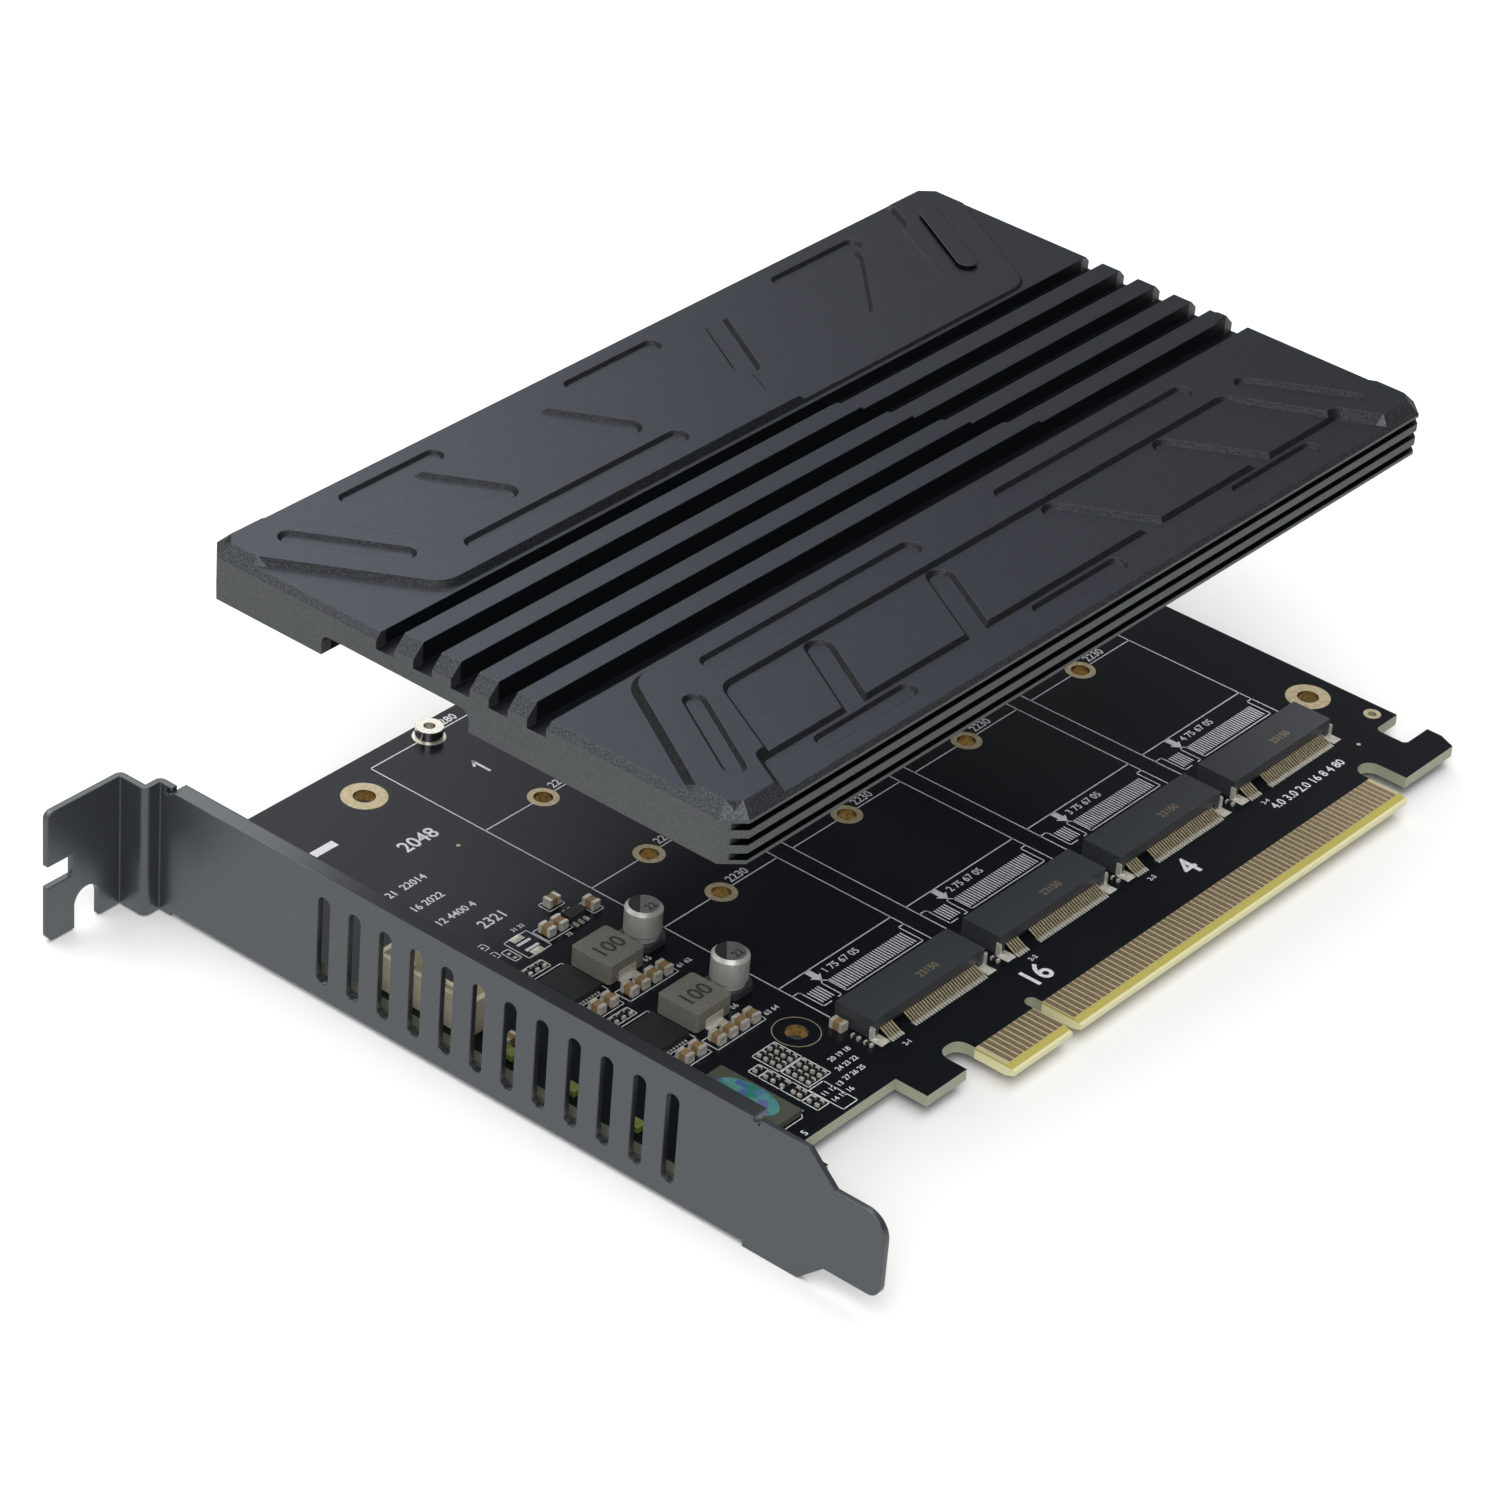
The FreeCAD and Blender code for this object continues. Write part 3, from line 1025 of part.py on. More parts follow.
def make_header():
    """The fan header: an open-topped shell with a polarising notch, and its pins."""
    shell = box("header_shell", ("header_x", "header_y", "0"),
                ("header_deep", "header_long", "header_high"))
    hollow = box("header_hollow", ("header_x + header_wall", "header_y + header_wall", "header_wall"),
                 ("header_deep - 2 * header_wall", "header_long - 2 * header_wall", "header_high"))
    notch = box("header_notch", ("header_x + header_deep / 2", "header_y + header_long / 3",
                                 "header_high / 2"),
                ("header_deep", "header_long / 3", "header_high"))
    keep(subtract("fan_header", shell, join("header_openings", [hollow, notch])), "fan_header")
    pins = []
    middle = value("header_y") + value("header_long") / 2
    for i in range(int(value("header_pins"))):
        y = middle + value("header_pitch") * (i - (value("header_pins") - 1) / 2)
        pins.append(block(value("header_x") + value("header_deep") / 2, y, value("header_wall"),
                          value("header_pin"), value("header_pin"),
                          value("header_high") - 2 * value("header_wall")))
    grouped("fan_header_pins", pins)


def make_lights():
    """A row of status lights beside the bracket's vents."""
    places = [value("led_y") - value("led_pitch") * i for i in range(int(value("led_count")))]
    grouped("status_lights", [
        block(value("led_x"), y, 0, value("led_long"), value("led_wide"), value("led_high"))
        for y in places])


def make_small_chip():
    """A small control chip with two rows of leads."""
    x, y = value("small_chip_x"), value("small_chip_y")
    chip = box("control_chip", ("small_chip_x - small_chip_long / 2",
                                "small_chip_y - small_chip_wide / 2", "clock_lift"),
               ("small_chip_long", "small_chip_wide", "clock_high"))
    keep(chip, "control_chip")
    leads = []
    reach = value("clock_lead_reach")
    for side in (-1, 1):
        for i in range(int(value("small_chip_leads"))):
            lead_x = x + (i - (value("small_chip_leads") - 1) / 2) * value("small_chip_pitch")
            lead_y = y + side * (value("small_chip_wide") + reach) / 2
            leads.append(block(lead_x, lead_y, 0, value("small_chip_lead_wide"), reach,
                               value("lead_thick") + value("clock_lift")))
    grouped("control_chip_leads", leads)


def chip_places():
    """Middle X, middle Y and lie of the ceramic capacitors and of the chip resistors."""
    shifts = (0, value("channel_shift"))
    output_row = [(x, value("output_row_y"), "Y") for x in (-33.95, -31.8, -29.6, -27.5)]
    input_row = [(x, value("input_row_y"), "Y") for x in (-39.65, -37.35)]
    gate_row = [(value("gate_x") + value("gate_pitch") * i, value("gate_y"), "Y") for i in range(3)]
    ceramics = [(x, y - shift, way) for shift in shifts for x, y, way in output_row + input_row]
    ceramics += [(-26.6, 62.4, "X"), (-23.4, 58.65, "Y"), (-31.7, 58.6, "Y"), (-29.6, 58.5, "Y"),
                 (-21.4, 20.4, "Y"), (-52.2, 48.4, "X"), (-52.2, 46.4, "X")]
    resistors = [(x, y - shift, way) for shift in shifts for x, y, way in gate_row]
    resistors += [(x, value("array_y") - array * value("array_shift") - i * value("array_pitch"), "X")
                  for x in (value("array_low_x"), value("array_high_x"))
                  for array in range(2) for i in range(4)]
    resistors += [(value("clock_row_x"), y, "X") for y in (21.8, 20.15, 19.0, 17.6, 15.85, 14.9, 13.4, 12.2)]
    for socket in range(4):
        x = value("drive_first") + socket * value("drive_pitch") + value("decoupling_x")
        resistors += [(x, value("decoupling_high_y"), "Y"), (x, value("decoupling_low_y"), "Y")]
    return ceramics, resistors


def make_chip_parts():
    """Ceramic capacitors and chip resistors: bodies and solder ends as two groups each."""
    ceramics, resistors = chip_places()
    kinds = (
        ("ceramic_capacitor_bodies", "ceramic_capacitor_ends", ceramics,
         "ceramic_long", "ceramic_wide", "ceramic_high"),
        ("chip_resistor_bodies", "chip_resistor_ends", resistors,
         "resistor_long", "resistor_wide", "resistor_high"),
    )
    fill, lift = value("chip_body_share"), value("chip_body_lift")
    for body_node, end_node, places, long_alias, wide_alias, high_alias in kinds:
        long, wide, high = value(long_alias), value(wide_alias), value(high_alias)
        end = long * value("chip_end_share")
        bodies, ends = [], []
        for x, y, way in places:
            core = (long - 2 * end, wide * fill) if way == "X" else (wide * fill, long - 2 * end)
            cap = (end, wide) if way == "X" else (wide, end)
            bodies.append(block(x, y, lift, core[0], core[1], high * fill - lift))
            for side in (-1, 1):
                offset = side * (long - end) / 2
                cap_x, cap_y = (x + offset, y) if way == "X" else (x, y + offset)
                ends.append(block(cap_x, cap_y, 0, cap[0], cap[1], high))
        grouped(body_node, bodies)
        grouped(end_node, ends)


make_board()
make_edge_contacts()
make_bracket()
make_heat_sink()
make_thermal_pads()
make_sockets()
make_standoffs()
make_bracket_screws()
make_converters()
make_clock_chip()
make_header()
make_lights()
make_small_chip()
make_chip_parts()
doc.recompute()


def check_and_write():
    """Stop on any failed object, then write one file for each sub-part."""
    for thing in doc.Objects:
        if {"Invalid", "Error"} & set(thing.State):
            raise RuntimeError(f"{thing.Label} failed: {thing.State}")
    os.makedirs("parts", exist_ok=True)
    for thing in SUB_PARTS:
        if thing.Shape.isNull() or not thing.Shape.isValid():
            raise RuntimeError(f"{thing.Label} has no valid shape")
        thing.Shape.exportStep(f"parts/{thing.Label}.step")


check_and_write()
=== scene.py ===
import math

import bpy
from mathutils import Matrix, Vector


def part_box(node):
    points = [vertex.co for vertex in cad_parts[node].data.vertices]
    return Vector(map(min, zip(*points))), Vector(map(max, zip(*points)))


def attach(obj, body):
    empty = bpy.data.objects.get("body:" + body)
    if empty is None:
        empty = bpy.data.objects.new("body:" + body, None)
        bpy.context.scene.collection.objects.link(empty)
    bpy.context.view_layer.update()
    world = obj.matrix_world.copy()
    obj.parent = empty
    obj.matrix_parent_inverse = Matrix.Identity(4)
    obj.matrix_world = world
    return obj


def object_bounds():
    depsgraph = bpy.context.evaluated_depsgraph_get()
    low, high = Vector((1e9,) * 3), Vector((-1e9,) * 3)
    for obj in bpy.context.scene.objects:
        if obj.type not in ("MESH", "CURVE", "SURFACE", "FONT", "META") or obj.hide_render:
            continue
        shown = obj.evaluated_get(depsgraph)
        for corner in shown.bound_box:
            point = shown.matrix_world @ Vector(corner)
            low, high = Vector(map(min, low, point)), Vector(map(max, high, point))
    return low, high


# A four-drive adapter card with its heat sink lifted off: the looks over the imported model.

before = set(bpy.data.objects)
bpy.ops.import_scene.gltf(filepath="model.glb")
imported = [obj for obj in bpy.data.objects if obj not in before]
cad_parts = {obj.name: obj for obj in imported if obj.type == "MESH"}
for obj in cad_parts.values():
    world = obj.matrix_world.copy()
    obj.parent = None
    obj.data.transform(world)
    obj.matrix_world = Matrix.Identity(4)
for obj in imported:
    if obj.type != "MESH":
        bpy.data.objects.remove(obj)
cad_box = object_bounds()


# ---- camera ----------------------------------------------------------------------------------
# Beyond the bracket's outer face, on the connector's side, looking along the card and down on
# it through a long lens, with the card's long side running away to the upper right.

# lengths are written in millimetres, and this turns them to metres
MM = 0.001
CAMERA_PLACE = Vector((-446.81, -285.78, 376.72)) * MM
CAMERA_HEADING = math.radians(37.221)
CAMERA_DROP = math.radians(32.805)
CAMERA_ROLL = math.radians(4.81)
camera_data = bpy.data.cameras.new("camera")
camera_data.sensor_width = 36.0
camera_data.lens = 127.35
camera_data.clip_end = 10.0
camera = bpy.data.objects.new("camera", camera_data)
bpy.context.scene.collection.objects.link(camera)
camera.matrix_world = (Matrix.Translation(CAMERA_PLACE)
                       @ Matrix.Rotation(CAMERA_HEADING - math.pi / 2, 4, "Z")
                       @ Matrix.Rotation(math.pi / 2 - CAMERA_DROP, 4, "X")
                       @ Matrix.Rotation(CAMERA_ROLL, 4, "Z"))
bpy.context.scene.camera = camera
bpy.context.scene.view_settings.view_transform = "Standard"


# ---- room ------------------------------------------------------------------------------------
# A white table in a white room. Wide soft lamps hang overhead, at the back left and at the
# left; one behind the viewer fills the shade under the heat sink. The right stays dim, so
# metal and mask grow darker towards it.


def to_linear(colour):
    """Linear RGBA of an sRGB hex colour."""
    parts = [int(colour[i:i + 2], 16) / 255 for i in (1, 3, 5)]
    return tuple(part / 12.92 if part <= 0.04045 else ((part + 0.055) / 1.055) ** 2.4
                 for part in parts) + (1.0,)


def add_node(material, kind, settings=None, links=None, stops=()):
    """Add a node: settings are attributes or input values, links are input to output socket.

    The stops of a colour ramp are (place, hex colour) pairs in rising order.
    """
    node = material.node_tree.nodes.new("ShaderNode" + kind)
    for key, setting in (settings or {}).items():
        if isinstance(key, str) and hasattr(node, key):
            setattr(node, key, setting)
        else:
            node.inputs[key].default_value = setting
    for key, source in (links or {}).items():
        material.node_tree.links.new(source, node.inputs[key])
    if stops:
        marks = node.color_ramp.elements
        marks.remove(marks[1])
        marks[0].position = stops[0][0]
        marks[0].color = to_linear(stops[0][1])
        for place, colour in stops[1:]:
            marks.new(place).color = to_linear(colour)
    return node


def new_material(name, **inputs):
    """A node material and its shader, with constants set on the shader's own sockets."""
    material = bpy.data.materials.new(name)
    material.use_nodes = True
    shader = material.node_tree.nodes["Principled BSDF"]
    for socket, setting in inputs.items():
        shader.inputs[socket.replace("_", " ")].default_value = setting
    return material, shader


def new_mesh(name, corners, faces, material, smooth=False):
    """A mesh object from corners in millimetres."""
    mesh = bpy.data.meshes.new(name)
    mesh.from_pydata([Vector(corner) * MM for corner in corners], [], faces)
    mesh.materials.append(material)
    for face in mesh.polygons:
        face.use_smooth = smooth
    thing = bpy.data.objects.new(name, mesh)
    bpy.context.scene.collection.objects.link(thing)
    return thing


# matt white paint keeps the shadow; metal and gloss see it as plain white
TABLE_HALF = 4000.0
TABLE_CLEARANCE = 0.05
TABLE_IN_MIRRORS = 0.85
table_level = cad_box[0][2] / MM - TABLE_CLEARANCE
table_paint, table_shader = new_material("white_table_paint", Roughness=0.85,
                                         Base_Color=to_linear("#f2f2f1"))
rays = add_node(table_paint, "LightPath")
mirrored = add_node(table_paint, "Math", {"operation": "MAXIMUM"},
                    {0: rays.outputs["Is Glossy Ray"], 1: rays.outputs["Is Transmission Ray"]})
plain_white = add_node(table_paint, "Emission",
                       {"Color": (1, 1, 1, 1), "Strength": TABLE_IN_MIRRORS})
table_mix = add_node(table_paint, "MixShader", {},
                     {0: mirrored.outputs[0], 1: table_shader.outputs[0],
                      2: plain_white.outputs[0]})
table_paint.node_tree.links.new(
    table_mix.outputs[0], table_paint.node_tree.nodes["Material Output"].inputs["Surface"])
table = new_mesh("table", [(x * TABLE_HALF, y * TABLE_HALF, table_level)
                           for x, y in ((-1, -1), (1, -1), (1, 1), (-1, 1))],
                 [(0, 1, 2, 3)], table_paint)

# the walls are white to look at, but give the card only a dim light
ROOM_DIM = 0.2
world = bpy.data.worlds.new("white_room")
bpy.context.scene.world = world
world.use_nodes = True
room = world.node_tree.nodes["Background"]
world_rays = add_node(world, "LightPath")
room_level = add_node(world, "MapRange", {"To Min": ROOM_DIM, "To Max": 1.0},
                      {"Value": world_rays.outputs["Is Camera Ray"]})
room.inputs["Color"].default_value = (1, 1, 1, 1)
world.node_tree.links.new(room_level.outputs[0], room.inputs["Strength"])

LAMPS = (
    # name, heading and height in degrees, size, watts
    ("overhead_softbox", 60, 84, 1700, 20.0),
    ("back_left_softbox", 66, 38, 1150, 5.6),
    ("left_softbox", 128, 40, 1250, 6.0),
    ("fill_softbox", 217, 44, 1000, 13.0),
)
LAMP_TARGET = Vector((15, 50, 10)) * MM
LAMP_DISTANCE = 1500
for name, heading, height, size, watts in LAMPS:
    lamp_data = bpy.data.lights.new(name, "AREA")
    lamp_data.size = size * MM
    lamp_data.energy = watts
    lamp = bpy.data.objects.new(name, lamp_data)
    bpy.context.scene.collection.objects.link(lamp)
    turn, lift = math.radians(heading), math.radians(height)
    away = Vector((math.cos(lift) * math.cos(turn), math.cos(lift) * math.sin(turn),
                   math.sin(lift)))
    lamp.location = LAMP_TARGET + away * LAMP_DISTANCE * MM
    lamp.rotation_euler = (-away).to_track_quat("-Z", "Y").to_euler()


# ---- circuit board ---------------------------------------------------------------------------
# Glass-fibre laminate routed to shape under a black solder mask. The cut edges and the
# tongue, where the mask stops short of the contacts' ends, show bare laminate.


def speckle(material, shader, grain, low, high, bump=0.0):
    """Colour a surface between two hex colours by a fine grain, its size in millimetres."""
    spot = add_node(material, "TexCoord")
    grit = add_node(material, "TexNoise", {"Scale": 1 / (grain * MM), "Detail": 2.0},
                    {"Vector": spot.outputs["Object"]})
    # the noise mostly lies between these two places, so both colours show
    ramp = add_node(material, "ValToRGB", {}, {"Fac": grit.outputs["Fac"]},
                    ((0.38, low), (0.62, high)))
    material.node_tree.links.new(ramp.outputs["Color"], shader.inputs["Base Color"])
    if bump:
        # grains stand up by under a third of their width
        relief = add_node(material, "Bump", {"Strength": bump, "Distance": grain * MM * 0.3},
                          {"Height": grit.outputs["Fac"]})
        material.node_tree.links.new(relief.outputs["Normal"], shader.inputs["Normal"])
    return ramp.outputs["Color"]


def dress(node, material):
    """Give a carried-over CAD node its finish."""
    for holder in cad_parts[node].material_slots:
        holder.material = material


def box_of(node):
    """A CAD node's lowest and highest corners in millimetres."""
    return [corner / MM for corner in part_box(node)]


# satin gloss: the lamps lie on the near-black mask as wide, faint, bluish sheets
mask, mask_shader = new_material("black_solder_mask_satin_gloss", Roughness=0.22,
                                 Specular_IOR_Level=0.19,
                                 Specular_Tint=to_linear("#d9e8ff"))
mask_colour = speckle(mask, mask_shader, 0.3, "#0f1114", "#15181c")
board_place = add_node(mask, "TexCoord")
board_spot = add_node(mask, "SeparateXYZ", {}, {0: board_place.outputs["Object"]})
board_normal = add_node(mask, "SeparateXYZ", {}, {0: board_place.outputs["Normal"]})
upright = add_node(mask, "Math", {"operation": "ABSOLUTE"}, {0: board_normal.outputs["Z"]})
# cut faces lean or stand, so their normal's Z is under 1
cut_face = add_node(mask, "Math", {"operation": "LESS_THAN", 1: 0.97}, {0: upright.outputs[0]})
# the mask stops at the contacts' inner ends, from side to side of the tongue
CONTACT_MARGIN = 0.75
MASK_OVERLAP = 0.02
contacts_low, contacts_high = box_of("edge_contacts_front")
past_left = add_node(mask, "Math",
                     {"operation": "GREATER_THAN", 1: (contacts_low.x - CONTACT_MARGIN) * MM},
                     {0: board_spot.outputs["X"]})
past_right = add_node(mask, "Math",
                      {"operation": "LESS_THAN", 1: (contacts_high.x + CONTACT_MARGIN) * MM},
                      {0: board_spot.outputs["X"]})
past_end = add_node(mask, "Math",
                    {"operation": "LESS_THAN", 1: (contacts_high.y + MASK_OVERLAP) * MM},
                    {0: board_spot.outputs["Y"]})
on_tongue = add_node(mask, "Math", {"operation": "MULTIPLY"},
                     {0: past_left.outputs[0], 1: past_right.outputs[0]})
bare = add_node(mask, "Math", {"operation": "MULTIPLY"},
                {0: on_tongue.outputs[0], 1: past_end.outputs[0]})
# woven glass shows as faint layers, about eight in the board's thickness
GLASS_LAYER = 0.2
layers = add_node(mask, "TexWave", {"bands_direction": "Z", "Distortion": 2.0, "Detail": 2.0,
                                    "Scale": 1 / (GLASS_LAYER * MM * 2 * math.pi)},
                  {"Vector": board_place.outputs["Object"]})
glass = add_node(mask, "MixRGB", {1: to_linear("#8f917c"), 2: to_linear("#a6a892")},
                 {0: layers.outputs["Fac"]})
# the flat resin between the contacts is buff, the sawn lead-in yellower, and the lead-in's
# lower half and the end palest
LEAD_IN_HALF = -0.33
tongue = add_node(mask, "MixRGB", {1: to_linear("#bdb08d"), 2: to_linear("#b5aa5c")},
                  {0: cut_face.outputs[0]})
low_down = add_node(mask, "Math", {"operation": "LESS_THAN", 1: LEAD_IN_HALF * MM},
                    {0: board_spot.outputs["Z"]})
end_face = add_node(mask, "Math", {"operation": "MULTIPLY"},
                    {0: cut_face.outputs[0], 1: low_down.outputs[0]})
edge = add_node(mask, "MixRGB", {2: to_linear("#dcd8aa")},
                {0: end_face.outputs[0], 1: tongue.outputs[0]})
resin = add_node(mask, "MixRGB", {},
                 {0: bare.outputs[0], 1: glass.outputs[0], 2: edge.outputs[0]})
unmasked = add_node(mask, "Math", {"operation": "MAXIMUM"},
                    {0: bare.outputs[0], 1: cut_face.outputs[0]})
board_colour = add_node(mask, "MixRGB", {},
                        {0: unmasked.outputs[0], 1: mask_colour, 2: resin.outputs[0]})
mask.node_tree.links.new(board_colour.outputs[0], mask_shader.inputs["Base Color"])
dress("circuit_board", mask)


# ---- edge contacts ---------------------------------------------------------------------------
# Hard gold over nickel on copper, plated on both faces of the tongue; rubbed satin, so it
# looks brown where it faces no lamp.

hard_gold, hard_gold_shader = new_material("hard_gold_plating_satin", Metallic=0.55,
                                           Roughness=0.42)
speckle(hard_gold, hard_gold_shader, 0.5, "#89785f", "#98866b")
dress("edge_contacts_front", hard_gold)
dress("edge_contacts_back", hard_gold)


# ---- bare copper rings and plated holes ------------------------------------------------------
# Rings round the screw holes where the mask leaves copper open, gilded by immersion, and the
# plating down the holes' walls. One dark ring is covered by mask, with only a thin gilt rim.

# height of ink, gilding and foil over what carries them, enough to lie clear of it
FILM = 0.012


def band(x, y, first, second, steps):
    """Corners and faces between two circles round x and y, each a (radius, level) pair."""
    corners = []
    for step in range(steps):
        turn = 2 * math.pi * step / steps
        corners += [(x + radius * math.cos(turn), y + radius * math.sin(turn), level)
                    for radius, level in (first, second)]
    count = 2 * steps
    faces = [(i, i + 1, (i + 3) % count, (i + 2) % count) for i in range(0, count, 2)]
    return corners, faces


def ring(x, y, inner, outer, level=FILM, steps=48):
    """Corners and faces of a flat ring, or of a disc where the inner radius is 0."""
    return band(x, y, (inner, level), (outer, level), steps)


def gather(name, parts, material, smooth=False):
    """Several (corners, faces) pairs as one piece that rides on the card."""
    corners, faces = [], []
    for part_corners, part_faces in parts:
        start = len(corners)
        corners += part_corners
        faces += [tuple(start + i for i in face) for face in part_faces]
    piece = new_mesh(name, corners, faces, material, smooth)
    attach(piece, "root")


SOCKETS = [box_of(f"drive_socket_{number}") for number in range(1, 5)]
DRIVE_MIDDLES = [(low.x + high.x) / 2 for low, high in SOCKETS]
DRIVE_LENGTHS = {"2280": 99.2, "2260": 79.2, "2242": 61.2, "2230": 49.2}
SHORTER_LENGTHS = list(DRIVE_LENGTHS.values())[1:]
DRIVE_HOLE, DRIVE_RING = 1.3, 2.12
COVER_HOLES = [(-25.65, 95.35), (83.4, 23.5), (83.4, 95.35)]
DARK_HOLE = (-25.65, 23.5)
COVER_HOLE, COVER_RING = 1.5, 3.1
DARK_RIM = 0.12
TOOLING_HOLE, TOOLING_RADIUS, TOOLING_RING = (86.2, 14.9), 0.6, 1.2
TEST_SPOTS, TEST_SPOT = [(-25.3, 79.35), (78.54, 11.88), (-54.3, 54.8)], 0.3
PLATING = 0.02

# thin gold over copper, dull and pale
immersion_gold, immersion_shader = new_material("immersion_gold_on_copper", Metallic=0.35,
                                                Roughness=0.45)
speckle(immersion_gold, immersion_shader, 0.6, "#b5a583", "#c9bb9b")
rings = [ring(x, y, COVER_HOLE, COVER_RING) for x, y in COVER_HOLES]
rings += [ring(x, y, DRIVE_HOLE, DRIVE_RING)
          for x in DRIVE_MIDDLES for y in DRIVE_LENGTHS.values()]
rings.append(ring(*TOOLING_HOLE, TOOLING_RADIUS, TOOLING_RING))
rings.append(ring(*DARK_HOLE, COVER_RING - DARK_RIM, COVER_RING))
rings += [ring(x, y, 0.0, TEST_SPOT, steps=20) for x, y in TEST_SPOTS]
gather("copper_rings", rings, immersion_gold)

# the same gold down in the holes, darkened by painted shade, its brighter grain painted glints
shaded_hole_gold, shaded_hole_shader = new_material("gold_plated_hole_wall", Metallic=0.9, Roughness=0.3)
speckle(shaded_hole_gold, shaded_hole_shader, 0.4, "#5c4520", "#7d6030")
board_back = box_of("circuit_board")[0].z
drilled = [(x, y, COVER_HOLE) for x, y in COVER_HOLES + [DARK_HOLE]]
drilled += [(x, y, DRIVE_HOLE) for x in DRIVE_MIDDLES for y in SHORTER_LENGTHS]
gather("plated_hole_walls", [band(x, y, (radius - PLATING, board_back), (radius - PLATING, 0), 32)
                             for x, y, radius in drilled], shaded_hole_gold, smooth=True)


# ---- printed lines ---------------------------------------------------------------------------
# White screen-printed ink on the mask: the four drives' outlines with a line for each length,
# a picture of the drive's contacts with an arrow, and boxes round the small parts.


def strip(points, wide):
    """Corners and faces of a printed line through the points, with square ends."""
    corners, faces = [], []
    for (x0, y0), (x1, y1) in zip(points, points[1:]):
        long = math.hypot(x1 - x0, y1 - y0)
        ax, ay = (x1 - x0) / long * wide / 2, (y1 - y0) / long * wide / 2
        start = len(corners)
        corners += [(x0 - ax + ay, y0 - ay - ax, FILM), (x1 + ax + ay, y1 + ay - ax, FILM),
                    (x1 + ax - ay, y1 + ay + ax, FILM), (x0 - ax - ay, y0 - ay + ax, FILM)]
        faces.append(tuple(range(start, start + 4)))
    return corners, faces


def outline(x0, y0, x1, y1):
    """The corner points of a closed box."""
    return [(x0, y0), (x1, y0), (x1, y1), (x0, y1), (x0, y0)]


LINE, FINE_LINE, PAD_LINE = 0.18, 0.14, 0.45
SIDE = 11.08
FAR_END = DRIVE_LENGTHS["2280"]
CROSS_LINE = 30.7
KEY = -5.7
# x from the drive's middle, and y on the card
DRIVE_PATHS = [
    # the long sides and the far end, open at the standoff, and the line across
    [(-SIDE, 22.6), (-SIDE, FAR_END), (-DRIVE_RING, FAR_END)],
    [(SIDE, 23.8), (SIDE, FAR_END), (DRIVE_RING, FAR_END)],
    [(-SIDE, CROSS_LINE), (SIDE, CROSS_LINE)],
    # the frame round the short group of contacts, the key and the long group
    [(-SIDE, 28.5), (1.1 - SIDE, 28.5), (1.3 - SIDE, 28.2), (1.3 - SIDE, 24.55),
     (2.8 - SIDE, 24.55)],
    [(KEY, 28.2), (-6.25, 27.8), (-6.25, 24.55), (-6.9, 24.55)],
    [(KEY, 28.2), (-5.2, 27.6), (-5.2, 24.65), (10.0, 24.65), (10.0, 28.6), (SIDE, 28.6)],
]
# a line for each shorter drive, open at its hole
DRIVE_PATHS += [[(side * DRIVE_RING, y), (side * SIDE, y)]
                for y in SHORTER_LENGTHS for side in (-1, 1)]
CONTACT_PITCH = 0.5
# first bar's x from the drive's middle, and how many bars
BAR_GROUPS = ((-9.15, 5), (-4.85, 29))
BAR_LOW, BAR_HIGH, BAR_WIDE = 25.2, 27.6, 0.24
# an arrow from the line across to the key, x from the key
ARROW = [(-0.5, CROSS_LINE), (-0.5, 29.25), (-1.0, 29.25), (0.0, 28.1), (1.0, 29.25),
         (0.5, 29.25), (0.5, CROSS_LINE)]
ARROW_FACES = [(0, 1, 5, 6), (2, 3, 4)]
PART_BOXES = (
    # resistor arrays, the row beside the clock chip and the empty box at the board's edge
    (-33.4, 19.8, -29.1, 24.1), (-33.35, 15.3, -29.1, 19.6), (-36.05, 20.95, -34.0, 22.5),
    (-36.1, 17.5, -33.9, 20.85), (-36.1, 14.2, -33.9, 17.4), (-36.1, 11.6, -33.9, 14.1),
    (-33.75, 9.6, -31.05, 14.9),
    # power stage: regulators, ceramic capacitors and gate resistors of both converters
    (-41.25, 45.35, -35.3, 53.1), (-41.25, 31.35, -35.3, 39.1),
    (-35.3, 41.8, -26.2, 44.4), (-35.3, 27.8, -26.2, 30.4), (-40.9, 42.1, -36.1, 44.7),
    (-40.9, 28.1, -36.1, 30.7), (-40.6, 53.7, -36.5, 55.4), (-40.6, 39.7, -36.5, 41.4),
    # the empty crystal place and the parts round the control chip
    (-37.3, 56.55, -33.15, 60.8), (-32.9, 57.2, -28.4, 60.0), (-28.0, 61.4, -25.2, 63.4),
    (-24.3, 57.3, -22.5, 60.0), (-40.8, 59.3, -39.4, 60.5), (-40.7, 61.4, -39.2, 62.6),
    (-39.0, 57.3, -37.8, 59.7),
)
PLACE_FOOT, PLACE_TALL = 88.3, 2.9
first_place = DRIVE_MIDDLES[0]
LONE_LINES = (
    # the clock chip's end, and two bars in the empty crystal place
    ([(-43.9, 12.0), (-38.5, 12.0), (-38.0, 12.6)], FINE_LINE),
    ([(-36.2, 57.9), (-34.3, 57.9)], PAD_LINE), ([(-36.2, 59.3), (-34.3, 59.3)], PAD_LINE),
    # a plain bar where such cards carry a disposal mark
    ([(-40.4, 90.6), (-36.7, 90.6)], 1.3),
    # the first place's number, a bar with a flag, because the font's own 1 has no flag
    ([(first_place - 0.3, PLACE_FOOT), (first_place - 0.3, PLACE_FOOT + 2.8)], 0.42),
    ([(first_place - 1.0, PLACE_FOOT + 2.0), (first_place - 0.35, PLACE_FOOT + 2.7)], 0.35),
)

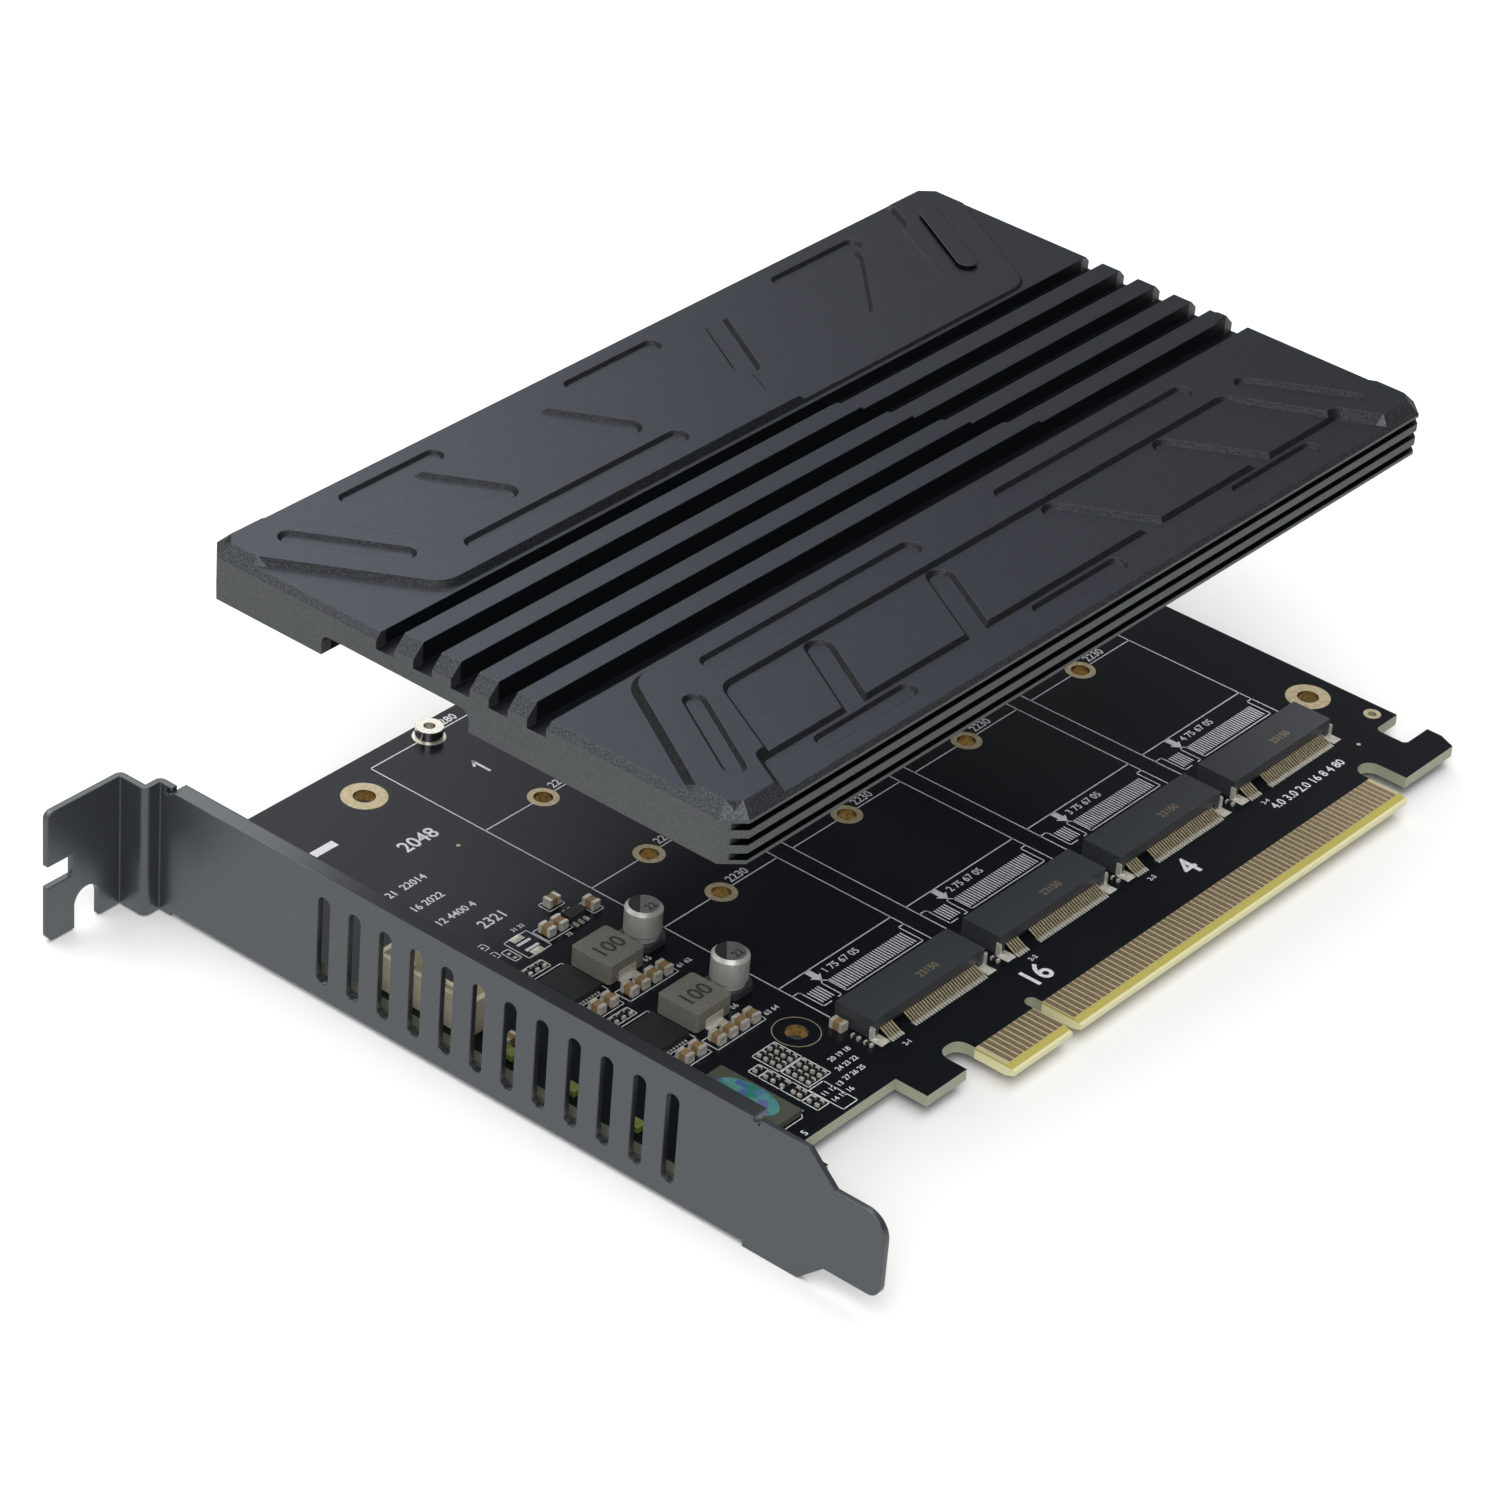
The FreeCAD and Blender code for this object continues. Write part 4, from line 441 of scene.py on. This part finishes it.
# opaque and matt, a little cooler than paper
ink, ink_shader = new_material("white_screen_ink_matt", Roughness=0.55)
speckle(ink, ink_shader, 0.4, "#d2d6d9", "#e6e8ea")
lines = []
for middle in DRIVE_MIDDLES:
    lines += [strip([(middle + x, y) for x, y in path], LINE) for path in DRIVE_PATHS]
    bars = [middle + first + CONTACT_PITCH * i for first, count in BAR_GROUPS for i in range(count)]
    lines += [strip([(x, BAR_LOW), (x, BAR_HIGH)], BAR_WIDE) for x in bars]
    lines.append(([(middle + KEY + x, y, FILM) for x, y in ARROW], ARROW_FACES))
lines += [strip(outline(*box), FINE_LINE) for box in PART_BOXES]
lines += [strip(points, wide) for points, wide in LONE_LINES]
gather("printed_lines", lines, ink)


# ---- printed numbers -------------------------------------------------------------------------
# Plain numbers in the same ink: the drives' places and lengths, and rows of figures where
# boards carry their part codes. Figures on the parts themselves are pale or dark prints.

# the font's figures are this share of its size tall, and ink spreads by this share of them
FIGURE_SHARE = 0.73
INK_SPREAD = 0.02


def print_number(name, figures, x, y, tall, material, level=FILM):
    """Plain figures lying flat, their left foot at x and y."""
    text = bpy.data.curves.new(name, "FONT")
    text.body = figures
    text.size = tall / FIGURE_SHARE * MM
    text.resolution_u = 3
    text.offset = tall * INK_SPREAD * MM
    text.materials.append(material)
    thing = bpy.data.objects.new(name, text)
    bpy.context.scene.collection.objects.link(thing)
    thing.location = Vector((x, y, level)) * MM
    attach(thing, "root")


for number, middle in enumerate(DRIVE_MIDDLES, 1):
    if number > 1:
        print_number(f"place_{number}", str(number), middle - 0.9, PLACE_FOOT, PLACE_TALL, ink)
    for length, y in DRIVE_LENGTHS.items():
        print_number(f"length_{length}_{number}", length, middle + 2.5, y + 0.5, 1.35, ink)
    print_number(f"socket_figures_{number}", f"{number} 75 67 05", middle - 4.2, 28.75, 1.15, ink)
    print_number(f"socket_number_{number}", f"2-{number}", middle - 9.0, 12.3, 0.75, ink)
BOARD_FIGURES = (
    # figures, x, y, height
    ("2048", -31.2, 82.7, 2.3), ("21  22014", -40.2, 77.2, 1.25), ("16 2022", -40.2, 73.0, 1.25),
    ("12 4400 4", -40.2, 68.8, 1.25), ("2321", -36.6, 64.6, 1.7), ("16", 2.6, 8.6, 3.4),
    ("4", 37.0, 9.2, 3.6), ("4.0 3.0 2.0 16 8 4 80", 57.6, 10.5, 1.4), ("5", -41.0, 9.5, 1.0),
    ("27 26 25", -29.0, 13.0, 0.8), ("24 23 22", -28.2, 14.8, 0.8), ("20 19 18", -27.4, 16.6, 0.8),
    ("11 12 13", -33.4, 12.8, 0.8), ("14 15 16", -33.4, 11.2, 0.8), ("61 62", -25.6, 42.2, 0.8),
    ("63 64", -25.6, 28.2, 0.8), ("65", -27.6, 45.9, 0.9), ("66", -27.6, 31.9, 0.9),
    ("31 32", -34.6, 61.6, 0.7), ("33", -30.4, 56.2, 0.7), ("7 8", -44.6, 40.6, 0.9),
    ("6 9", -44.6, 30.2, 0.9), ("3 4", -48.6, 36.2, 0.9), ("2 5", -48.6, 26.4, 0.9),
)
for number, (figures, x, y, tall) in enumerate(BOARD_FIGURES, 1):
    print_number(f"board_figures_{number}", figures, x, y, tall, ink)


# ---- bracket ---------------------------------------------------------------------------------
# Stamped and folded steel sheet with a thin dark grey satin coat that is finely gritty, and
# two screws in bright nickel that hold its ears to the board.


def soften(material, shader, radius):
    """Shade sharp edges as if rounded by a radius in millimetres."""
    rounded = add_node(material, "Bevel", {"samples": 4, "Radius": radius * MM})
    relief = shader.inputs["Normal"].links[0].from_node
    material.node_tree.links.new(rounded.outputs["Normal"], relief.inputs["Normal"])


# metal shows through the coat, so it mirrors the lamps as a soft, even grey
coat, coat_shader = new_material("satin_grey_coat_on_steel", Metallic=0.85, Roughness=0.32)
speckle(coat, coat_shader, 0.15, "#5b5f62", "#64686b", bump=0.08)
# stamping, bending and coating round the sheet's edges
SHEET_EDGE = 0.35
soften(coat, coat_shader, SHEET_EDGE)
dress("bracket", coat)
# warm white mirror with a slight blur
nickel, nickel_shader = new_material("bright_nickel_plating", Metallic=1.0, Roughness=0.2)
speckle(nickel, nickel_shader, 0.3, "#d0ccc3", "#e0dcd4")
dress("bracket_screws", nickel)


# ---- heat sink -------------------------------------------------------------------------------
# Milled aluminium plate, finely blasted and anodised black. The flats are a smooth blue-grey;
# the slanted cuts and the sides keep a coarser, neutral grain with bright specks, with painted
# shade on the cuts inside the pads and painted light on the outer sides.

# a blasting grain is under 0.1 mm, and is drawn twice as coarse or more so that it shows
FLAT_GRAIN, CUT_GRAIN = 0.2, 0.22
FLAT_ROUGH, CUT_ROUGH = 0.34, 0.55
# a dyed metal: dark, but it mirrors the lamps as broad bluish bands
anodised, anodised_shader = new_material("black_anodised_aluminium_blasted", Metallic=1.0,
                                         Roughness=FLAT_ROUGH)
flat_colour = speckle(anodised, anodised_shader, FLAT_GRAIN, "#43474f", "#4b4f57", bump=0.12)
sink_place = add_node(anodised, "TexCoord")
sink_normal = add_node(anodised, "SeparateXYZ", {}, {0: sink_place.outputs["Normal"]})
# cuts lean and sides stand, so their normal's Z is under 1 or near 0
sink_upright = add_node(anodised, "Math", {"operation": "ABSOLUTE"},
                        {0: sink_normal.outputs["Z"]})
slanted = add_node(anodised, "Math", {"operation": "LESS_THAN", 1: 0.9},
                   {0: sink_upright.outputs[0]})
standing = add_node(anodised, "Math", {"operation": "LESS_THAN", 1: 0.3},
                    {0: sink_upright.outputs[0]})
# outer faces lie further than this from the plate's middle, along and across it
SINK_MIDDLE, OUTER_FROM = (16.5, 55.75), (68.4, 40.1)
sink_spot = add_node(anodised, "SeparateXYZ", {}, {0: sink_place.outputs["Object"]})
outer = []
for axis in (0, 1):
    offset = add_node(anodised, "Math", {"operation": "SUBTRACT", 1: SINK_MIDDLE[axis] * MM},
                      {0: sink_spot.outputs[axis]})
    reach = add_node(anodised, "Math", {"operation": "ABSOLUTE"}, {0: offset.outputs[0]})
    outer.append(add_node(anodised, "Math",
                          {"operation": "GREATER_THAN", 1: OUTER_FROM[axis] * MM},
                          {0: reach.outputs[0]}))
# faces outside the pads escape the cuts' painted shade; the sides among them get painted light
outer_unshaded = add_node(anodised, "Math", {"operation": "MAXIMUM"},
                 {0: outer[0].outputs[0], 1: outer[1].outputs[0]})
lit_outer_side = add_node(anodised, "Math", {"operation": "MULTIPLY"},
                      {0: standing.outputs[0], 1: outer_unshaded.outputs[0]})
# painted shade and light: the cuts inside the pads are painted dark for the shade in their
# slots, the outer bevels are paler, and the outer sides palest, partly for their coarser grain
# and partly as painted light
cut_grit = add_node(anodised, "TexNoise", {"Scale": 1 / (CUT_GRAIN * MM), "Detail": 2.0},
                    {"Vector": sink_place.outputs["Object"]})
shaded_inner_grain, bevel_grain, lit_side_grain = [
    add_node(anodised, "ValToRGB", {}, {"Fac": cut_grit.outputs["Fac"]},
             ((0.42, low), (0.66, high))).outputs["Color"]
    for low, high in (("#26282a", "#3a3c3e"), ("#404346", "#5b5e60"), ("#646868", "#717474"))]
cut_colour = add_node(anodised, "MixRGB", {}, {0: outer_unshaded.outputs[0], 1: shaded_inner_grain, 2: bevel_grain})
side_colour = add_node(anodised, "MixRGB", {},
                       {0: lit_outer_side.outputs[0], 1: cut_colour.outputs[0], 2: lit_side_grain})
sink_colour = add_node(anodised, "MixRGB", {},
                       {0: slanted.outputs[0], 1: flat_colour, 2: side_colour.outputs[0]})
anodised.node_tree.links.new(sink_colour.outputs[0], anodised_shader.inputs["Base Color"])
# the coarser grain scatters more light than the flats do
sink_rough = add_node(anodised, "MapRange", {"To Min": FLAT_ROUGH, "To Max": CUT_ROUGH},
                      {"Value": slanted.outputs[0]})
anodised.node_tree.links.new(sink_rough.outputs[0], anodised_shader.inputs["Roughness"])
# blasting breaks the milled edges
BLASTED_EDGE = 0.15
soften(anodised, anodised_shader, BLASTED_EDGE)
dress("heat_sink", anodised)


# ---- thermal pads ----------------------------------------------------------------------------
# Soft grey silicone filled with ceramic powder, cut from sheet as a strip for each drive and
# stuck under the heat sink by its own tack.

# dull, chalky grey
silicone, silicone_shader = new_material("filled_silicone_matt", Roughness=0.75)
speckle(silicone, silicone_shader, 0.3, "#848c93", "#949ca3", bump=0.2)
for number in range(1, 5):
    dress(f"thermal_pad_{number}", silicone)


# ---- drive sockets ---------------------------------------------------------------------------
# Black glass-filled nylon housings; gold-flashed contacts slant down to the board, each with
# its own bead of solder, and tinned steel clips hold the ends.


def bead(x, y, long, wide, high, level=0.0):
    """Corners and faces of a solder bead: a low mound that narrows to a ridge."""
    a, b, c, d = long / 2, wide / 2, long / 6, wide / 6
    corners = [(x - a, y - b, level), (x + a, y - b, level),
               (x + a, y + b, level), (x - a, y + b, level),
               (x - c, y - d, level + high), (x + c, y - d, level + high),
               (x + c, y + d, level + high), (x - c, y + d, level + high)]
    faces = [(0, 3, 2, 1), (4, 5, 6, 7)]
    faces += [(i, (i + 1) % 4, 4 + (i + 1) % 4, 4 + i) for i in range(4)]
    return corners, faces


# glass fibres dull the moulded skin to a charcoal satin
nylon, nylon_shader = new_material("black_glass_filled_nylon", Roughness=0.42)
speckle(nylon, nylon_shader, 0.25, "#34383b", "#3d4144", bump=0.1)
# pale gold, thin enough to look nearly silver in the light
flash_gold, flash_shader = new_material("gold_flashed_phosphor_bronze", Metallic=0.55,
                                        Roughness=0.32)
speckle(flash_gold, flash_shader, 0.5, "#ad9f7f", "#c8bb9b")
# bright, slightly lumpy, warm silver
solder, solder_shader = new_material("tinned_solder_bright", Metallic=0.5, Roughness=0.3)
speckle(solder, solder_shader, 0.4, "#dcd7ca", "#f0ece2", bump=0.3)
# a dull bronze print, just paler than the nylon
stamp, stamp_shader = new_material("bronze_stamping_foil_dull", Roughness=0.5, Metallic=0.3)
speckle(stamp, stamp_shader, 0.3, "#85765d", "#9b8b70")

# first contact's x from the drive's middle, and how many contacts
CONTACT_GROUPS = ((-9.3, 5), (-4.7, 29))
CLIP_SIDE = 10.6
# a bead's length, width and height, and the level of its foot if that isn't the board
CONTACT_BEAD, CLIP_BEAD = (0.28, 0.9, 0.22), (1.7, 1.9, 0.35, 0.1)
beads = []
for number, middle in enumerate(DRIVE_MIDDLES, 1):
    dress(f"drive_socket_{number}", nylon)
    dress(f"socket_contacts_{number}", flash_gold)
    foot = box_of(f"socket_contacts_{number}")[0].y
    beads += [bead(middle + first + CONTACT_PITCH * i, foot - 0.1, *CONTACT_BEAD)
              for first, count in CONTACT_GROUPS for i in range(count)]
    beads += [bead(middle + side * CLIP_SIDE, foot + 0.6, *CLIP_BEAD) for side in (-1, 1)]
dress("socket_hold_downs", solder)
gather("socket_solder", beads, solder)
for number, middle in enumerate(DRIVE_MIDDLES, 1):
    print_number(f"socket_stamp_{number}", "23150", middle + 0.4, 17.7, 1.1, stamp,
                 SOCKETS[number - 1][1].z + FILM)


# ---- drive standoffs -------------------------------------------------------------------------
# Turned brass posts, nickel plated bright, that stand in the board's farthest drive holes,
# each in a ring of solder round its foot.

STANDOFF, SOLDER_WIDE, SOLDER_HIGH = 1.9, 0.35, 0.03
dress("drive_standoffs", nickel)
gather("standoff_solder", [ring(middle, FAR_END, STANDOFF, STANDOFF + SOLDER_WIDE, SOLDER_HIGH)
                           for middle in DRIVE_MIDDLES], solder)


# ---- power stage -----------------------------------------------------------------------------
# Bright drawn-aluminium capacitor cans on black feet, with a dark printed segment on top;
# pressed iron-powder inductors with printed figures; low moulded regulators.

# light silver, its gloss broken by the drawing
can_skin, can_shader = new_material("drawn_aluminium_can_satin", Metallic=0.6, Roughness=0.4)
speckle(can_skin, can_shader, 0.3, "#dad9d4", "#e6e5e0")
# the pressed top is duller than the drawn wall
can_top, can_top_shader = new_material("pressed_aluminium_top_brushed", Metallic=0.6,
                                       Roughness=0.5)
speckle(can_top, can_top_shader, 0.3, "#8d8e8d", "#9fa09e")
# stone grey, faintly grainy
powder, powder_shader = new_material("pressed_iron_powder_lacquered", Roughness=0.5,
                                     Metallic=0.15)
speckle(powder, powder_shader, 0.25, "#75736a", "#858379", bump=0.25)
# flat black with a fine mould texture
epoxy, epoxy_shader = new_material("moulded_black_epoxy", Roughness=0.6)
speckle(epoxy, epoxy_shader, 0.15, "#17181a", "#1e1f21", bump=0.15)
# charcoal, thin
black_print, black_print_shader = new_material("black_marking_ink", Roughness=0.5)
speckle(black_print, black_print_shader, 0.3, "#2a2b2b", "#363737")

CAN_DISC, SEGMENT = 1.95, 2.0
SEGMENT_STEPS = 16
# the segment's middle points away from the connector and to the bracket
SEGMENT_HEADING = math.radians(130)
SEGMENT_HALF = math.radians(75)
segment_turns = [SEGMENT_HEADING + SEGMENT_HALF * (2 * i / SEGMENT_STEPS - 1)
                 for i in range(SEGMENT_STEPS + 1)]
CAN_BEAD, COIL_BEAD, REGULATOR_BEAD = (1.2, 1.0, 0.3), (3.2, 0.5, 0.2, 0.05), (0.3, 0.4, 0.12)
REGULATOR_PITCH = 0.55
segments, discs, joints = [], [], []
for number in (1, 2):
    dress(f"capacitor_can_{number}", can_skin)
    dress(f"capacitor_foot_{number}", nylon)
    dress(f"inductor_{number}", powder)
    dress(f"regulator_{number}", epoxy)
    can_low, can_high = box_of(f"capacitor_can_{number}")
    coil_low, coil_high = box_of(f"inductor_{number}")
    can, coil = (can_low + can_high) / 2, (coil_low + coil_high) / 2
    discs.append(ring(can.x, can.y, 0.0, CAN_DISC, can_high.z + FILM))
    segments.append(([(can.x + SEGMENT * math.cos(turn), can.y + SEGMENT * math.sin(turn),
                       can_high.z + 2 * FILM) for turn in segment_turns],
                     [tuple(range(SEGMENT_STEPS + 1))]))
    print_number(f"can_figures_{number}", "22", can.x - 0.6, can.y - 1.4, 1.2, black_print,
                 can_high.z + 2 * FILM)
    print_number(f"coil_figures_{number}", "100", coil.x - 2.5, coil.y - 1.2, 2.4, black_print,
                 coil_high.z + FILM)
    joints += [bead(can.x + side * 2.6, can.y - 0.3, *CAN_BEAD) for side in (-1, 1)]
    joints += [bead(coil.x, coil.y + side * 3.75, *COIL_BEAD) for side in (-1, 1)]
    # the regulator's pads lie along its edge towards the connector
    regulator_low, regulator_high = box_of(f"regulator_{number}")
    pads_middle = (regulator_low.x + regulator_high.x) / 2 + 0.1
    joints += [bead(pads_middle + REGULATOR_PITCH * i, regulator_low.y - 0.15, *REGULATOR_BEAD)
               for i in range(-3, 4)]
gather("can_segments", segments, black_print)
gather("can_faces", discs, can_top)
gather("power_joints", joints, solder)
dress("inductor_ends", solder)


# ---- signal parts ----------------------------------------------------------------------------
# The clock chip under an oval foil label, the control chip, chip capacitors and resistors on
# beads of solder, the fan header and the lights behind the vents.

# matt olive grey
chip_grey, chip_grey_shader = new_material("moulded_grey_epoxy_matt", Roughness=0.5)
speckle(chip_grey, chip_grey_shader, 0.2, "#45473f", "#505248", bump=0.15)
dress("clock_chip", chip_grey)
dress("clock_chip_leads", solder)
dress("control_chip", epoxy)
dress("control_chip_leads", solder)

# the foil breaks up into flat patches of colour a millimetre or two wide
FOIL_PATCH = 1.4
foil, foil_shader = new_material("iridescent_label_foil", Metallic=0.5, Roughness=0.3)
foil_place = add_node(foil, "TexCoord")
foil_patch = add_node(foil, "TexVoronoi", {"Scale": 1 / (FOIL_PATCH * MM)},
                      {"Vector": foil_place.outputs["Object"]})
foil_hue = add_node(foil, "SeparateColor", {}, {0: foil_patch.outputs["Color"]})
foil_ramp = add_node(foil, "ValToRGB", {}, {"Fac": foil_hue.outputs[0]},
                     ((0.0, "#3f9a8c"), (0.3, "#5fae9c"), (0.55, "#6fb7b0"), (0.8, "#5b7fc0"),
                      (1.0, "#9a93c9")))
foil.node_tree.links.new(foil_ramp.outputs["Color"], foil_shader.inputs["Base Color"])
dress("oval_label", foil)

# fired brown, like biscuit
ceramic, ceramic_shader = new_material("fired_barium_titanate", Roughness=0.45)
speckle(ceramic, ceramic_shader, 0.3, "#8a7149", "#9c8256")
dress("ceramic_capacitor_bodies", ceramic)
dress("ceramic_capacitor_ends", solder)
# glassy black
glaze, glaze_shader = new_material("black_resistor_glaze", Roughness=0.3)
speckle(glaze, glaze_shader, 0.2, "#1a1b1c", "#27282a")
dress("chip_resistor_bodies", glaze)
dress("chip_resistor_ends", solder)

# undyed nylon, cream and faintly waxy
moulding, moulding_shader = new_material("cream_moulded_nylon", Roughness=0.5)
speckle(moulding, moulding_shader, 0.4, "#dcd2b4", "#eae1c6")
dress("fan_header", moulding)
dress("fan_header_pins", nickel)
# cloudy yellow-green, unlit
lens, lens_shader = new_material("cast_resin_lens", Roughness=0.3)
speckle(lens, lens_shader, 0.5, "#7d8f45", "#93a556")
dress("status_lights", lens)

# the two pads of the empty crystal place, and those of the empty places beside it
WIDE_PADS = ((-35.3, 60.4), (-35.3, 56.95))
SMALL_PADS = ((-40.1, 59.9), (-39.9, 62.0), (-38.4, 58.9), (-38.4, 57.9))
WIDE_PAD, SMALL_PAD = (1.9, 1.1, 0.08), (0.5, 0.4, 0.06)
pads = [bead(x, y, *WIDE_PAD) for x, y in WIDE_PADS]
pads += [bead(x, y, *SMALL_PAD) for x, y in SMALL_PADS]
gather("empty_pads", pads, solder)
